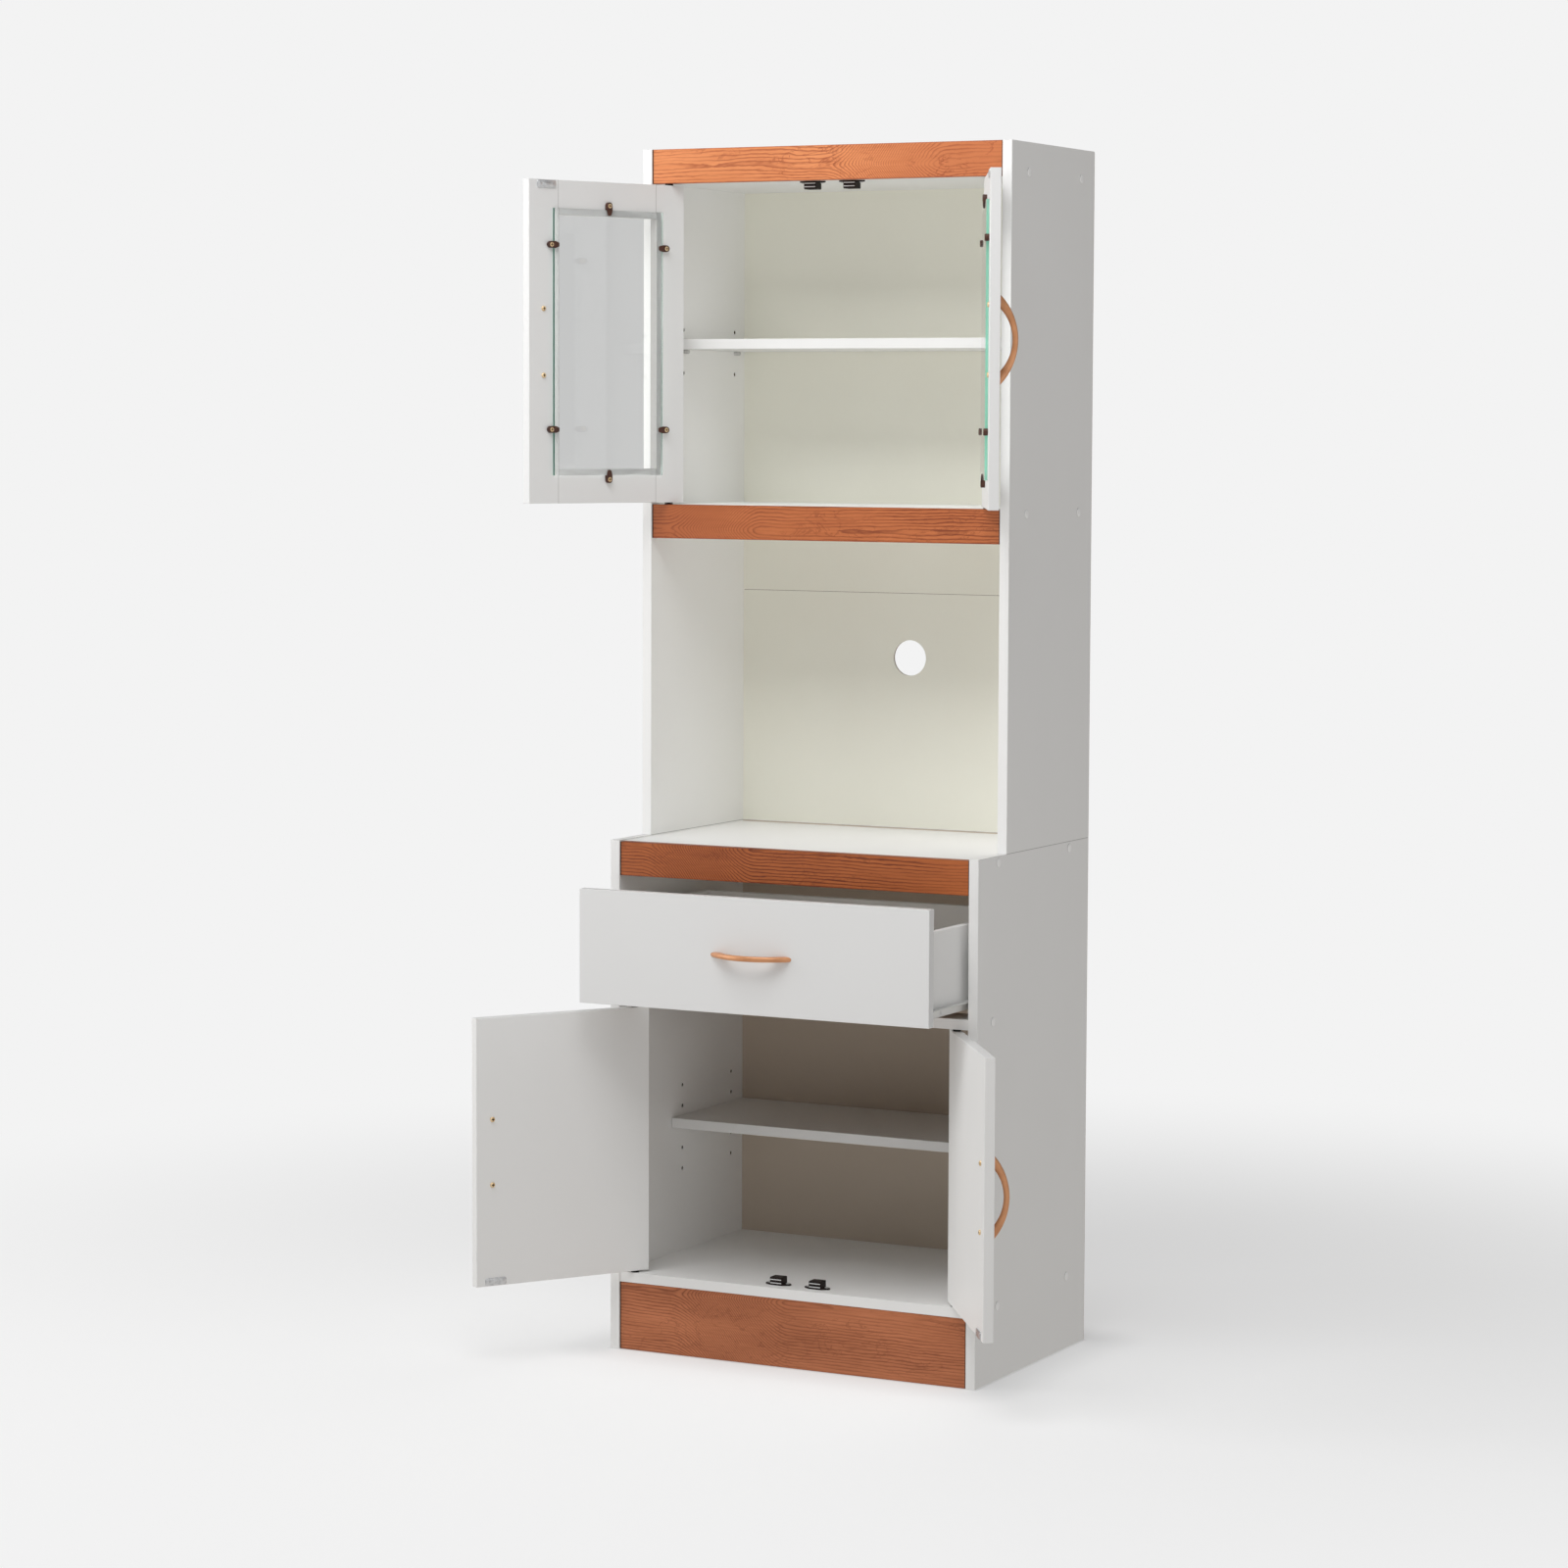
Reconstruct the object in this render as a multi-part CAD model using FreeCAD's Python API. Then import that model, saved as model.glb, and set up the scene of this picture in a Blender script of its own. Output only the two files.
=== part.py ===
# Tall kitchen unit with an open bay for a microwave oven.
# A deep base (drawer over two solid doors) carries a shallower hutch: the open bay, and over it
# a cupboard with two glazed doors. Everything is in millimetres, +Z up, front towards -Y.
# Origin: floor level, middle of the width, in the wall plane behind the back panels.
import FreeCAD, Part
import math
import os

V = FreeCAD.Vector
X_AXIS = V(1, 0, 0)
Y_AXIS = V(0, 1, 0)
Z_AXIS = V(0, 0, 1)

# ---------------------------------------------------------------- carcass
overall_width = 600.0
base_height = 760.0
hutch_height = 1015.0
base_side_depth = 383.0
hutch_side_depth = 289.0
board = 15.0
edge_ease = 0.6
back_thickness = 3.0
back_inset = 1.0
back_seam_drop = 85.5
back_seam_gap = 0.5
front_setback = 2.0

plinth_height = 101.0
counter_drop = 2.0
base_strip_height = 50.0
drawer_opening = 177.0
rail_depth = 60.0
upper_cupboard_height = 472.0
middle_strip_height = 50.0
top_strip_height = 50.0
cable_hole_radius = 27.0
cable_hole_across = 2.0
cable_hole_below_seam = 98.0
through_cut = 1.0

# ---------------------------------------------------------------- shelves and their pins
shelf_depth = 225.0
shelf_end_gap = 1.0
shelf_back_gap = 1.0
upper_shelf_lift = 230.0
lower_shelf_lift = 193.0
pin_radius = 3.0
pin_fit = 0.05
pin_in_board = 8.5
pin_out = 9.0
pin_head_radius = 3.4
pin_hole_spare = 0.5
pin_tip_taper = 1.0
pin_pitch = 32.0
upper_pin_rear = 34.0
lower_pin_rear = 39.0
pin_front = 194.0
upper_pin_steps = (-1, 0, 1)
lower_pin_steps = (-2, -1, 0, 1, 2)

# ---------------------------------------------------------------- screws and dowels of the carcass
panel_screw_radius = 2.5
panel_screw_length = 50.0
panel_screw_fit = 0.1
panel_head_radius = 4.7
panel_head_length = 4.0
panel_head_sink = 0.2
panel_head_taper = 1.0
screw_hole_spare = 0.4
screw_point = 2.0
panel_socket_radius = 2.0
panel_socket_depth = 3.0
cap_radius = 6.5
cap_height = 0.9
cap_edge = 0.4
cap_stem_radius = 1.9
cap_stem_length = 2.6
hutch_screw_front = 233.0
hutch_screw_rear = 49.0
counter_screw_front = 319.0
counter_screw_rear = 72.0
floor_screw_front = 312.0
floor_screw_rear = 69.0
rail_screw_from_rear = 10.0
dowel_radius = 4.0
dowel_length = 30.0
dowel_in_side = 10.0
dowel_fit = 0.05
hutch_dowel_front = 230.0
hutch_dowel_rear = 60.0
dowel_end_gap = 0.5

# ---------------------------------------------------------------- doors
door_side_gap = 2.0
door_centre_gap = 3.0
door_end_gap = 3.0
upper_pivot_from_side = 24.0
lower_pivot_from_side = 21.5
stile_width = 52.0
rail_width = 50.0
pane_thickness = 4.0
pane_lap = 9.5
upper_left_angle = 113.0
upper_right_angle = 117.0
lower_left_angle = 123.0
lower_right_angle = 125.5

# pivot fittings between a door's ends and the boards over and under it
pivot_pin_radius = 2.0
pivot_running_fit = 0.08
pivot_barrel_radius = 3.95
pivot_barrel_fit = 0.05
pivot_barrel_length = 10.0
pivot_flange_radius = 6.0
pivot_flange_gap = 0.3
pivot_pin_reach = 8.0
pivot_hole_spare = 0.2
pivot_pin_taper = 0.8

# turn clips that hold a pane
clip_width = 10.0
clip_tail = 5.5
clip_tip = 14.0
clip_from_pane = 6.0
clip_nose_height = 2.0
clip_nose_width = 6.0
clip_taper_start = 7.5
clip_seat_gap = 0.1
clip_upper_side = 140.0
clip_lower_side = 126.0
clip_screw_radius = 1.6
clip_screw_head_radius = 3.3
clip_screw_head_length = 1.7
clip_screw_length = 16.0
clip_corner = 1.5
clip_edge = 0.5
small_screw_fit = 0.1

# bow handles
handle_hole_spacing = 96.0
handle_from_edge = 25.5
door_handle_length = 125.0
drawer_handle_length = 130.0
handle_reach = 25.5
handle_clear_reach = 17.4
handle_clear_length = 86.0
handle_width = 8.0
handle_round = 2.2
handle_screw_radius = 1.95
handle_screw_fit = 0.08
handle_screw_bite = 8.0
handle_screw_head_radius = 3.75
handle_screw_head_height = 2.4
drawer_handle_drop = 83.2

# strike plates and magnetic catches
strike_width = 33.0
strike_height = 11.0
strike_thickness = 1.5
strike_from_end = 1.0
strike_screw_across = 11.0
strike_screw_radius = 1.4
strike_head_radius = 2.6
strike_head_length = 1.2
strike_screw_length = 10.0
strike_corner = 1.0
catch_across = 32.0
catch_gap = 0.3
catch_body_width = 20.0
catch_body_depth = 18.0
catch_body_height = 12.0
catch_flange_length = 41.0
catch_flange_height = 2.0
catch_flange_nose = 6.0
catch_plate_proud = 0.8
catch_plate_width = 19.0
catch_plate_depth = 12.0
catch_plate_thickness = 1.2
catch_plate_level_one = 3.4
catch_plate_level_two = 8.4
catch_plate_fit = 0.05
catch_screw_across = 15.0
catch_screw_radius = 1.5
catch_screw_head_radius = 2.8
catch_screw_head_height = 1.6
catch_screw_length = 12.0
catch_edge = 1.0
screw_head_edge = 0.6

# ---------------------------------------------------------------- drawer
drawer_pulled_out = 123.0
drawer_front_gap = 3.0
drawer_front_lift = 2.5
drawer_front_top_gap = 8.0
drawer_box_from_side = 12.5
drawer_board = 12.0
drawer_side_length = 350.0
drawer_side_height = 120.0
drawer_side_lift = 11.0
drawer_bottom_thickness = 3.0
drawer_bottom_lift = 10.0
drawer_groove_depth = 6.0
drawer_groove_fit = 0.1
drawer_bottom_end_gap = 0.5
drawer_back_screw_radius = 2.0
drawer_back_screw_length = 35.0
drawer_back_screw_head_radius = 3.8
drawer_back_screw_head_length = 2.0
drawer_back_screw_inset = 25.0

# ---------------------------------------------------------------- drawer runners and rollers
steel = 1.2
runner_length = 350.0
runner_back = 17.0
runner_height = 20.0
runner_lift = 9.0
runner_lower_reach = 9.0
runner_upper_reach = 6.8
slide_lip = 12.0
slide_height = 12.5
slide_reach = 8.8
roller_radius = 6.3
roller_width = 7.0
roller_edge = 0.6
roller_gap = 0.3
roller_side_gap = 0.3
axle_radius = 2.0
axle_running_fit = 0.08
axle_shoulder_radius = 3.2
axle_head_radius = 3.0
axle_head_thickness = 0.5
front_roller_inset = 7.0
front_roller_from_web = 1.3
rear_roller_inset = 12.0
rear_roller_from_web = 0.8
runner_screw_radius = 1.5
runner_screw_head_radius = 3.0
runner_screw_head_height = 0.7
runner_screw_length = 11.0
runner_screw_front = 27.0
runner_screw_rear = 23.0
runner_screw_level = 10.0
slide_screw_length = 9.0
slide_screw_front = 40.0
slide_screw_rear = 45.0
slide_screw_level = 6.2

# ---------------------------------------------------------------- places worked out from the sizes
half_width = overall_width / 2
inner_half = half_width - board
base_edge = -(back_thickness + base_side_depth)
hutch_edge = -(back_thickness + hutch_side_depth)
base_face = base_edge + front_setback
hutch_face = hutch_edge + front_setback
back_face = -back_thickness
total_height = base_height + hutch_height
floor_top = plinth_height + board
counter_top = base_height - counter_drop
base_strip_underside = counter_top - base_strip_height
rail_top = base_strip_underside - drawer_opening
rail_underside = rail_top - board
top_strip_underside = total_height - top_strip_height
middle_panel_top = top_strip_underside - upper_cupboard_height
middle_panel_underside = middle_panel_top - board
middle_strip_underside = middle_panel_top - middle_strip_height
back_seam_height = middle_strip_underside - back_seam_drop
cable_hole_height = back_seam_height - cable_hole_below_seam
upper_shelf_underside = middle_panel_top + upper_shelf_lift
lower_shelf_underside = floor_top + lower_shelf_lift

door_width = inner_half - door_side_gap - door_centre_gap / 2
upper_pivot_across = inner_half - upper_pivot_from_side
lower_pivot_across = inner_half - lower_pivot_from_side
upper_door_low = middle_panel_top + door_end_gap
upper_door_high = top_strip_underside - door_end_gap
lower_door_low = floor_top + door_end_gap
lower_door_high = rail_underside - door_end_gap
upper_pivot_back = hutch_face + board / 2
lower_pivot_back = base_face + board / 2
pivot_flange_height = (door_end_gap - pivot_flange_gap) / 2
pivot_hole_radius = pivot_barrel_radius + pivot_barrel_fit
pivot_hole_depth = pivot_barrel_length + pivot_hole_spare
pivot_bore_radius = pivot_pin_radius + pivot_running_fit

drawer_front_half = inner_half - drawer_front_gap
drawer_front_low = rail_top + drawer_front_lift
drawer_front_high = base_strip_underside - drawer_front_top_gap
drawer_handle_height = drawer_front_high - drawer_handle_drop
drawer_face = base_face - drawer_pulled_out
drawer_rear_face = drawer_face + board
drawer_box_half = inner_half - drawer_box_from_side
drawer_side_low = drawer_front_low + drawer_side_lift
drawer_side_high = drawer_side_low + drawer_side_height
drawer_box_rear = drawer_rear_face + drawer_side_length
drawer_bottom_low = drawer_side_low + drawer_bottom_lift
drawer_bottom_high = drawer_bottom_low + drawer_bottom_thickness

runner_low = rail_top + runner_lift
runner_high = runner_low + runner_height
runner_rear = -runner_back
runner_front = runner_rear - runner_length
runner_web_in = inner_half - steel
slide_low = drawer_side_low - steel
slide_high = slide_low + slide_height
slide_web_out = drawer_box_half + steel
front_roller_y = runner_front + front_roller_inset
front_roller_z = slide_high - steel - roller_gap - roller_radius
rear_roller_y = drawer_box_rear - rear_roller_inset
rear_roller_z = runner_low + steel + roller_gap + roller_radius


# ---------------------------------------------------------------- building helpers
def block(x_low, x_high, y_low, y_high, z_low, z_high):
    return Part.makeBox(x_high - x_low, y_high - y_low, z_high - z_low, V(x_low, y_low, z_low))


def rod(radius, length, start, direction):
    return Part.makeCylinder(radius, length, start, direction)


def placed(shape, start, direction):
    moved = shape.copy()
    turn = FreeCAD.Placement(start, FreeCAD.Rotation(Z_AXIS, direction))
    moved.Placement = turn.multiply(moved.Placement)
    return moved


def turned(profile, start, direction):
    # solid of revolution: the profile is (radius, distance along the direction), closed on the axis
    points = [V(radius, 0, height) for radius, height in profile]
    face = Part.Face(Part.makePolygon(points + [points[0]]))
    solid = face.revolve(V(0, 0, 0), Z_AXIS, 360)
    return placed(solid, start, direction)


def eased(shape, size, wanted):
    edges = [edge for edge in shape.Edges if wanted(edge)]
    return shape.makeChamfer(size, edges)


def edge_lies_at(edge, axis, value):
    return all(abs(getattr(vertex.Point, axis) - value) < 1e-6 for vertex in edge.Vertexes)


def group(solids):
    return Part.makeCompound(solids)


def both_sides(shape):
    return [shape, mirrored(shape)]


def mirrored(shape):
    return shape.mirror(V(0, 0, 0), X_AXIS)


def cut_all(shape, tools):
    for tool in tools:
        shape = shape.cut(tool)
    return shape


def laid_on(shape, origin, along, outward):
    # local X runs along the surface, local Z stands off it
    across = outward.cross(along)
    matrix = FreeCAD.Matrix(
        along.x, across.x, outward.x, origin.x,
        along.y, across.y, outward.y, origin.y,
        along.z, across.z, outward.z, origin.z,
        0, 0, 0, 1)
    moved = shape.copy()
    moved.Placement = FreeCAD.Placement(matrix).multiply(moved.Placement)
    return moved


# ---------------------------------------------------------------- carcass screws, caps and dowels
def panel_screw_places():
    # (distance in from the wall plane, height) of the screws through each side board
    top_level = top_strip_underside + board / 2
    middle_level = middle_panel_underside + board / 2
    counter_level = counter_top - board / 2
    rail_level = rail_underside + board / 2
    floor_level = plinth_height + board / 2
    rail_screw = base_face + rail_depth - rail_screw_from_rear
    hutch = [
        (-hutch_screw_front, top_level), (-hutch_screw_rear, top_level),
        (-hutch_screw_front, middle_level), (-hutch_screw_rear, middle_level)]
    base = [
        (-counter_screw_front, counter_level), (-counter_screw_rear, counter_level),
        (rail_screw, rail_level),
        (-floor_screw_front, floor_level), (-floor_screw_rear, floor_level)]
    return hutch, base


def panel_screw(y, z):
    top = -panel_head_sink
    neck = top - panel_head_length
    tip = top - panel_screw_length
    socket = top - panel_socket_depth
    profile = [
        (panel_socket_radius, top), (panel_head_radius, top), (panel_head_radius, neck + panel_head_taper),
        (panel_screw_radius, neck), (panel_screw_radius, tip + screw_point), (0, tip),
        (0, socket), (panel_socket_radius, socket)]
    return turned(profile, V(half_width, y, z), X_AXIS)


def panel_screw_hole(y, z):
    radius = panel_screw_radius + panel_screw_fit
    length = panel_head_sink + panel_screw_length + screw_hole_spare
    shaft = rod(radius, length, V(half_width, y, z), -X_AXIS)
    depth = panel_head_sink + panel_head_length + panel_screw_fit
    head = rod(panel_head_radius + panel_screw_fit, depth, V(half_width, y, z), -X_AXIS)
    return shaft.fuse(head)


def screw_cap(y, z):
    profile = [
        (0, cap_height), (cap_radius - cap_edge, cap_height), (cap_radius, cap_height - cap_edge),
        (cap_radius, 0), (cap_stem_radius, 0), (cap_stem_radius, -cap_stem_length),
        (0, -cap_stem_length)]
    return turned(profile, V(half_width, y, z), X_AXIS)


def side_dowel_places():
    # (depth, height) of the dowels between the side boards and the strips and plinth
    hutch_middle = hutch_face + board / 2
    base_middle = base_face + board / 2
    hutch = [
        (hutch_middle, top_strip_underside + top_strip_height / 2),
        (hutch_middle, middle_strip_underside + middle_strip_height / 3)]
    base = [
        (base_middle, base_strip_underside + base_strip_height / 2),
        (base_middle, plinth_height * 0.3),
        (base_middle, plinth_height * 0.7)]
    return hutch, base


def side_dowel(y, z):
    start = V(inner_half + dowel_in_side - dowel_end_gap, y, z)
    return rod(dowel_radius, dowel_length - 2 * dowel_end_gap, start, -X_AXIS)


def side_dowel_hole(y, z):
    start = V(inner_half + dowel_in_side, y, z)
    return rod(dowel_radius + dowel_fit, dowel_length, start, -X_AXIS)


def standing_dowel(y):
    start = V(inner_half + board / 2, y, base_height - dowel_length / 2 + dowel_end_gap)
    return rod(dowel_radius, dowel_length - 2 * dowel_end_gap, start, Z_AXIS)


def standing_dowel_hole(y):
    start = V(inner_half + board / 2, y, base_height - dowel_length / 2)
    return rod(dowel_radius + dowel_fit, dowel_length, start, Z_AXIS)


def standing_dowel_places():
    return [-hutch_dowel_front, -hutch_dowel_rear]


# ---------------------------------------------------------------- shelf pins
def pin_level(shelf_underside):
    return shelf_underside - pin_radius


def pin_holes(shelf_underside, steps, rear):
    holes = []
    for step in steps:
        for distance in (rear, pin_front):
            z = pin_level(shelf_underside) + step * pin_pitch
            start = V(inner_half, -distance, z)
            holes.append(rod(pin_radius + pin_fit, pin_in_board + pin_hole_spare, start, X_AXIS))
    return holes


def shelf_pin(shelf_underside, distance):
    # round stem in the board, thicker head outside it, planed flat where the shelf lies
    z = pin_level(shelf_underside)
    head_tip = pin_head_radius - pin_tip_taper
    profile = [
        (0, pin_in_board), (pin_radius, pin_in_board), (pin_radius, 0), (pin_head_radius, 0),
        (pin_head_radius, -pin_out + pin_tip_taper), (head_tip, -pin_out), (0, -pin_out)]
    pin = turned(profile, V(inner_half, -distance, z), X_AXIS)
    above = block(
        inner_half - pin_out - through_cut, inner_half,
        -distance - pin_head_radius, -distance + pin_head_radius,
        shelf_underside, shelf_underside + pin_head_radius)
    return pin.cut(above)


def shelf(underside):
    half = inner_half - shelf_end_gap
    rear = back_face - shelf_back_gap
    panel = block(-half, half, rear - shelf_depth, rear, underside, underside + board)
    front = rear - shelf_depth
    return eased(panel, edge_ease, lambda edge: edge_lies_at(edge, "y", front))


# ---------------------------------------------------------------- carcass boards
def base_side():
    side = block(inner_half, half_width, base_edge, back_face, 0, base_height)
    side = eased(side, edge_ease, lambda edge: edge_lies_at(edge, "y", base_edge))
    tools = [panel_screw_hole(y, z) for y, z in panel_screw_places()[1]]
    tools += pin_holes(lower_shelf_underside, lower_pin_steps, lower_pin_rear)
    tools += [side_dowel_hole(y, z) for y, z in side_dowel_places()[1]]
    tools += [standing_dowel_hole(y) for y in standing_dowel_places()]
    tools += [runner_screw_hole(y) for y in runner_screw_places()]
    return cut_all(side, tools)


def hutch_side():
    side = block(inner_half, half_width, hutch_edge, back_face, base_height, total_height)
    side = eased(side, edge_ease, lambda edge: edge_lies_at(edge, "y", hutch_edge))
    tools = [panel_screw_hole(y, z) for y, z in panel_screw_places()[0]]
    tools += pin_holes(upper_shelf_underside, upper_pin_steps, upper_pin_rear)
    tools += [side_dowel_hole(y, z) for y, z in side_dowel_places()[0]]
    tools += [standing_dowel_hole(y) for y in standing_dowel_places()]
    return cut_all(side, tools)


def across_board(front, rear, low, high, tools):
    # a board between the two side boards; the tools are for its right end and are mirrored
    panel = block(-inner_half, inner_half, front, rear, low, high)
    for tool in tools:
        panel = panel.cut(tool).cut(mirrored(tool))
    return panel


def base_top_panel():
    tools = [panel_screw_hole(y, z) for y, z in panel_screw_places()[1][:2]]
    front = base_face + board
    return across_board(front, back_face, counter_top - board, counter_top, tools)


def base_strip():
    tools = [side_dowel_hole(y, z) for y, z in side_dowel_places()[1][:1]]
    return across_board(base_face, base_face + board, base_strip_underside, counter_top, tools)


def drawer_rail():
    tools = [panel_screw_hole(y, z) for y, z in panel_screw_places()[1][2:3]]
    tools.append(pivot_hole(lower_pivot_across, lower_pivot_back, rail_underside, Z_AXIS))
    return across_board(base_face, base_face + rail_depth, rail_underside, rail_top, tools)


def base_floor():
    tools = [panel_screw_hole(y, z) for y, z in panel_screw_places()[1][3:]]
    tools.append(pivot_hole(lower_pivot_across, lower_pivot_back, floor_top, -Z_AXIS))
    tools += [hole for hole in catch_screw_holes(floor_top, lower_catch_front(), -Z_AXIS)]
    return across_board(base_face, back_face, plinth_height, floor_top, tools)


def plinth():
    tools = [side_dowel_hole(y, z) for y, z in side_dowel_places()[1][1:]]
    return across_board(base_face, base_face + board, 0, plinth_height, tools)


def hutch_top_panel():
    tools = [panel_screw_hole(y, z) for y, z in panel_screw_places()[0][:2]]
    tools += [hole for hole in catch_screw_holes(top_strip_underside, upper_catch_front(), Z_AXIS)]
    low = top_strip_underside
    return across_board(hutch_face + board, back_face, low, low + board, tools)


def top_strip():
    tools = [side_dowel_hole(y, z) for y, z in side_dowel_places()[0][:1]]
    tools.append(pivot_hole(upper_pivot_across, upper_pivot_back, top_strip_underside, Z_AXIS))
    return across_board(hutch_face, hutch_face + board, top_strip_underside, total_height, tools)


def middle_panel():
    tools = [panel_screw_hole(y, z) for y, z in panel_screw_places()[0][2:]]
    low = middle_panel_underside
    return across_board(hutch_face + board, back_face, low, middle_panel_top, tools)


def middle_strip():
    tools = [side_dowel_hole(y, z) for y, z in side_dowel_places()[0][1:]]
    tools.append(pivot_hole(upper_pivot_across, upper_pivot_back, middle_panel_top, -Z_AXIS))
    low = middle_strip_underside
    return across_board(hutch_face, hutch_face + board, low, middle_panel_top, tools)


def back_sheet(low, high):
    half = half_width - back_inset
    return block(-half, half, back_face, 0, low, high)


def cable_hole():
    start = V(cable_hole_across, back_face - through_cut, cable_hole_height)
    return rod(cable_hole_radius, back_thickness + 2 * through_cut, start, Y_AXIS)


# ---------------------------------------------------------------- pivots
def pivot_hole(x, y, z, inward):
    return rod(pivot_hole_radius, pivot_hole_depth, V(x, y, z), inward)


def pivot_bush(x, y, z, inward):
    # flanged sleeve in a board; the door's pin turns in its bore
    flange = -pivot_flange_height
    length = pivot_barrel_length
    profile = [
        (pivot_bore_radius, flange), (pivot_flange_radius, flange), (pivot_flange_radius, 0),
        (pivot_barrel_radius, 0), (pivot_barrel_radius, length), (pivot_bore_radius, length)]
    return turned(profile, V(x, y, z), inward)


def door_pivot(x, y, z, outward):
    # flanged plug in the end of a door, with the pin that stands out of it
    flange = pivot_flange_height
    tip = door_end_gap + pivot_pin_reach
    nose = pivot_pin_radius - pivot_pin_taper
    profile = [
        (0, -pivot_barrel_length), (pivot_barrel_radius, -pivot_barrel_length),
        (pivot_barrel_radius, 0), (pivot_flange_radius, 0), (pivot_flange_radius, flange),
        (pivot_pin_radius, flange), (pivot_pin_radius, tip - pivot_pin_taper), (nose, tip), (0, tip)]
    return turned(profile, V(x, y, z), outward)


def hinge_bushes():
    places = [
        (upper_pivot_across, upper_pivot_back, top_strip_underside, Z_AXIS),
        (upper_pivot_across, upper_pivot_back, middle_panel_top, -Z_AXIS),
        (lower_pivot_across, lower_pivot_back, rail_underside, Z_AXIS),
        (lower_pivot_across, lower_pivot_back, floor_top, -Z_AXIS)]
    bushes = []
    for x, y, z, inward in places:
        bushes += both_sides(pivot_bush(x, y, z, inward))
    return group(bushes)


# ---------------------------------------------------------------- magnetic catches
def upper_catch_front():
    return hutch_face + board + strike_thickness + catch_gap


def lower_catch_front():
    return base_face + board + strike_thickness + catch_gap


def catch_frame(shape, board_level, front, into_board):
    # local X across the unit, local Y back from the poles' front, local Z away from the board
    out = -into_board
    along = X_AXIS if out.z > 0 else -X_AXIS
    return laid_on(shape, V(catch_across, front, board_level), along, out)


def catch_housing():
    front = catch_plate_proud
    body = block(
        -catch_body_width / 2, catch_body_width / 2, front, catch_body_depth, 0, catch_body_height)
    body = eased(body, catch_edge, lambda edge: edge_lies_at(edge, "z", catch_body_height))
    nose = catch_flange_nose / 2
    middle = (front + catch_body_depth) / 2
    outline = [
        V(-catch_flange_length / 2, middle - nose, 0), V(-catch_body_width / 2, front, 0),
        V(catch_body_width / 2, front, 0), V(catch_flange_length / 2, middle - nose, 0),
        V(catch_flange_length / 2, middle + nose, 0), V(catch_body_width / 2, catch_body_depth, 0),
        V(-catch_body_width / 2, catch_body_depth, 0), V(-catch_flange_length / 2, middle + nose, 0)]
    flange = Part.Face(Part.makePolygon(outline + [outline[0]])).extrude(V(0, 0, catch_flange_height))
    housing = body.fuse(flange).removeSplitter()
    for level in (catch_plate_level_one, catch_plate_level_two):
        housing = housing.cut(catch_plate(level, catch_plate_fit))
    for side in (-1, 1):
        start = V(side * catch_screw_across, middle, -through_cut)
        length = catch_flange_height + 2 * through_cut
        housing = housing.cut(rod(catch_screw_radius + small_screw_fit, length, start, Z_AXIS))
    return housing


def catch_plate(level, grow):
    half = catch_plate_width / 2 + grow
    low = level - catch_plate_thickness / 2 - grow
    high = level + catch_plate_thickness / 2 + grow
    return block(-half, half, -grow, catch_plate_depth + grow, low, high)


def catch_screw(side):
    middle = (catch_plate_proud + catch_body_depth) / 2
    head = catch_flange_height + catch_screw_head_height
    tip = catch_flange_height - catch_screw_length
    profile = [
        (0, head), (catch_screw_head_radius - screw_head_edge, head),
        (catch_screw_head_radius, head - screw_head_edge),
        (catch_screw_head_radius, catch_flange_height), (catch_screw_radius, catch_flange_height),
        (catch_screw_radius, tip + screw_point), (0, tip)]
    return turned(profile, V(side * catch_screw_across, middle, 0), Z_AXIS)


def catch_screw_holes(board_level, front, into_board):
    middle = (catch_plate_proud + catch_body_depth) / 2
    depth = catch_screw_length - catch_flange_height + screw_hole_spare
    holes = []
    for side in (-1, 1):
        start = V(side * catch_screw_across, middle, 0)
        hole = rod(catch_screw_radius + small_screw_fit, depth, start, -Z_AXIS)
        holes.append(catch_frame(hole, board_level, front, into_board))
    return holes


def catch_places():
    return [
        (top_strip_underside, upper_catch_front(), Z_AXIS),
        (floor_top, lower_catch_front(), -Z_AXIS)]


def catch_group(shapes):
    solids = []
    for board_level, front, into_board in catch_places():
        for shape in shapes:
            solids += both_sides(catch_frame(shape, board_level, front, into_board))
    return solids


# ---------------------------------------------------------------- doors, drawn closed on the left
def swing(shape, side, angle, pivot_across, pivot_back):
    # side -1 is the left door, turned clockwise seen from above; side 1 the right one
    if side > 0:
        shape = mirrored(shape)
    centre = V(side * pivot_across, pivot_back, 0)
    return shape.rotated(centre, Z_AXIS, side * angle)


def door_edges():
    hinge_end = -(inner_half - door_side_gap)
    return hinge_end, hinge_end + door_width


def frame_opening():
    hinge_end, free_end = door_edges()
    return (
        hinge_end + stile_width, free_end - stile_width,
        upper_door_low + rail_width, upper_door_high - rail_width)


def door_stiles(tools):
    hinge_end, free_end = door_edges()
    left, right, low, high = frame_opening()
    front = hutch_face
    rear = hutch_face + board
    hinge_stile = block(hinge_end, left, front, rear, upper_door_low, upper_door_high)
    free_stile = block(right, free_end, front, rear, upper_door_low, upper_door_high)
    hinge_stile = eased(hinge_stile, edge_ease, lambda edge: edge_lies_at(edge, "x", hinge_end))
    free_stile = eased(free_stile, edge_ease, lambda edge: edge_lies_at(edge, "x", free_end))
    return group([cut_all(hinge_stile, tools), cut_all(free_stile, tools)])


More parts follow.
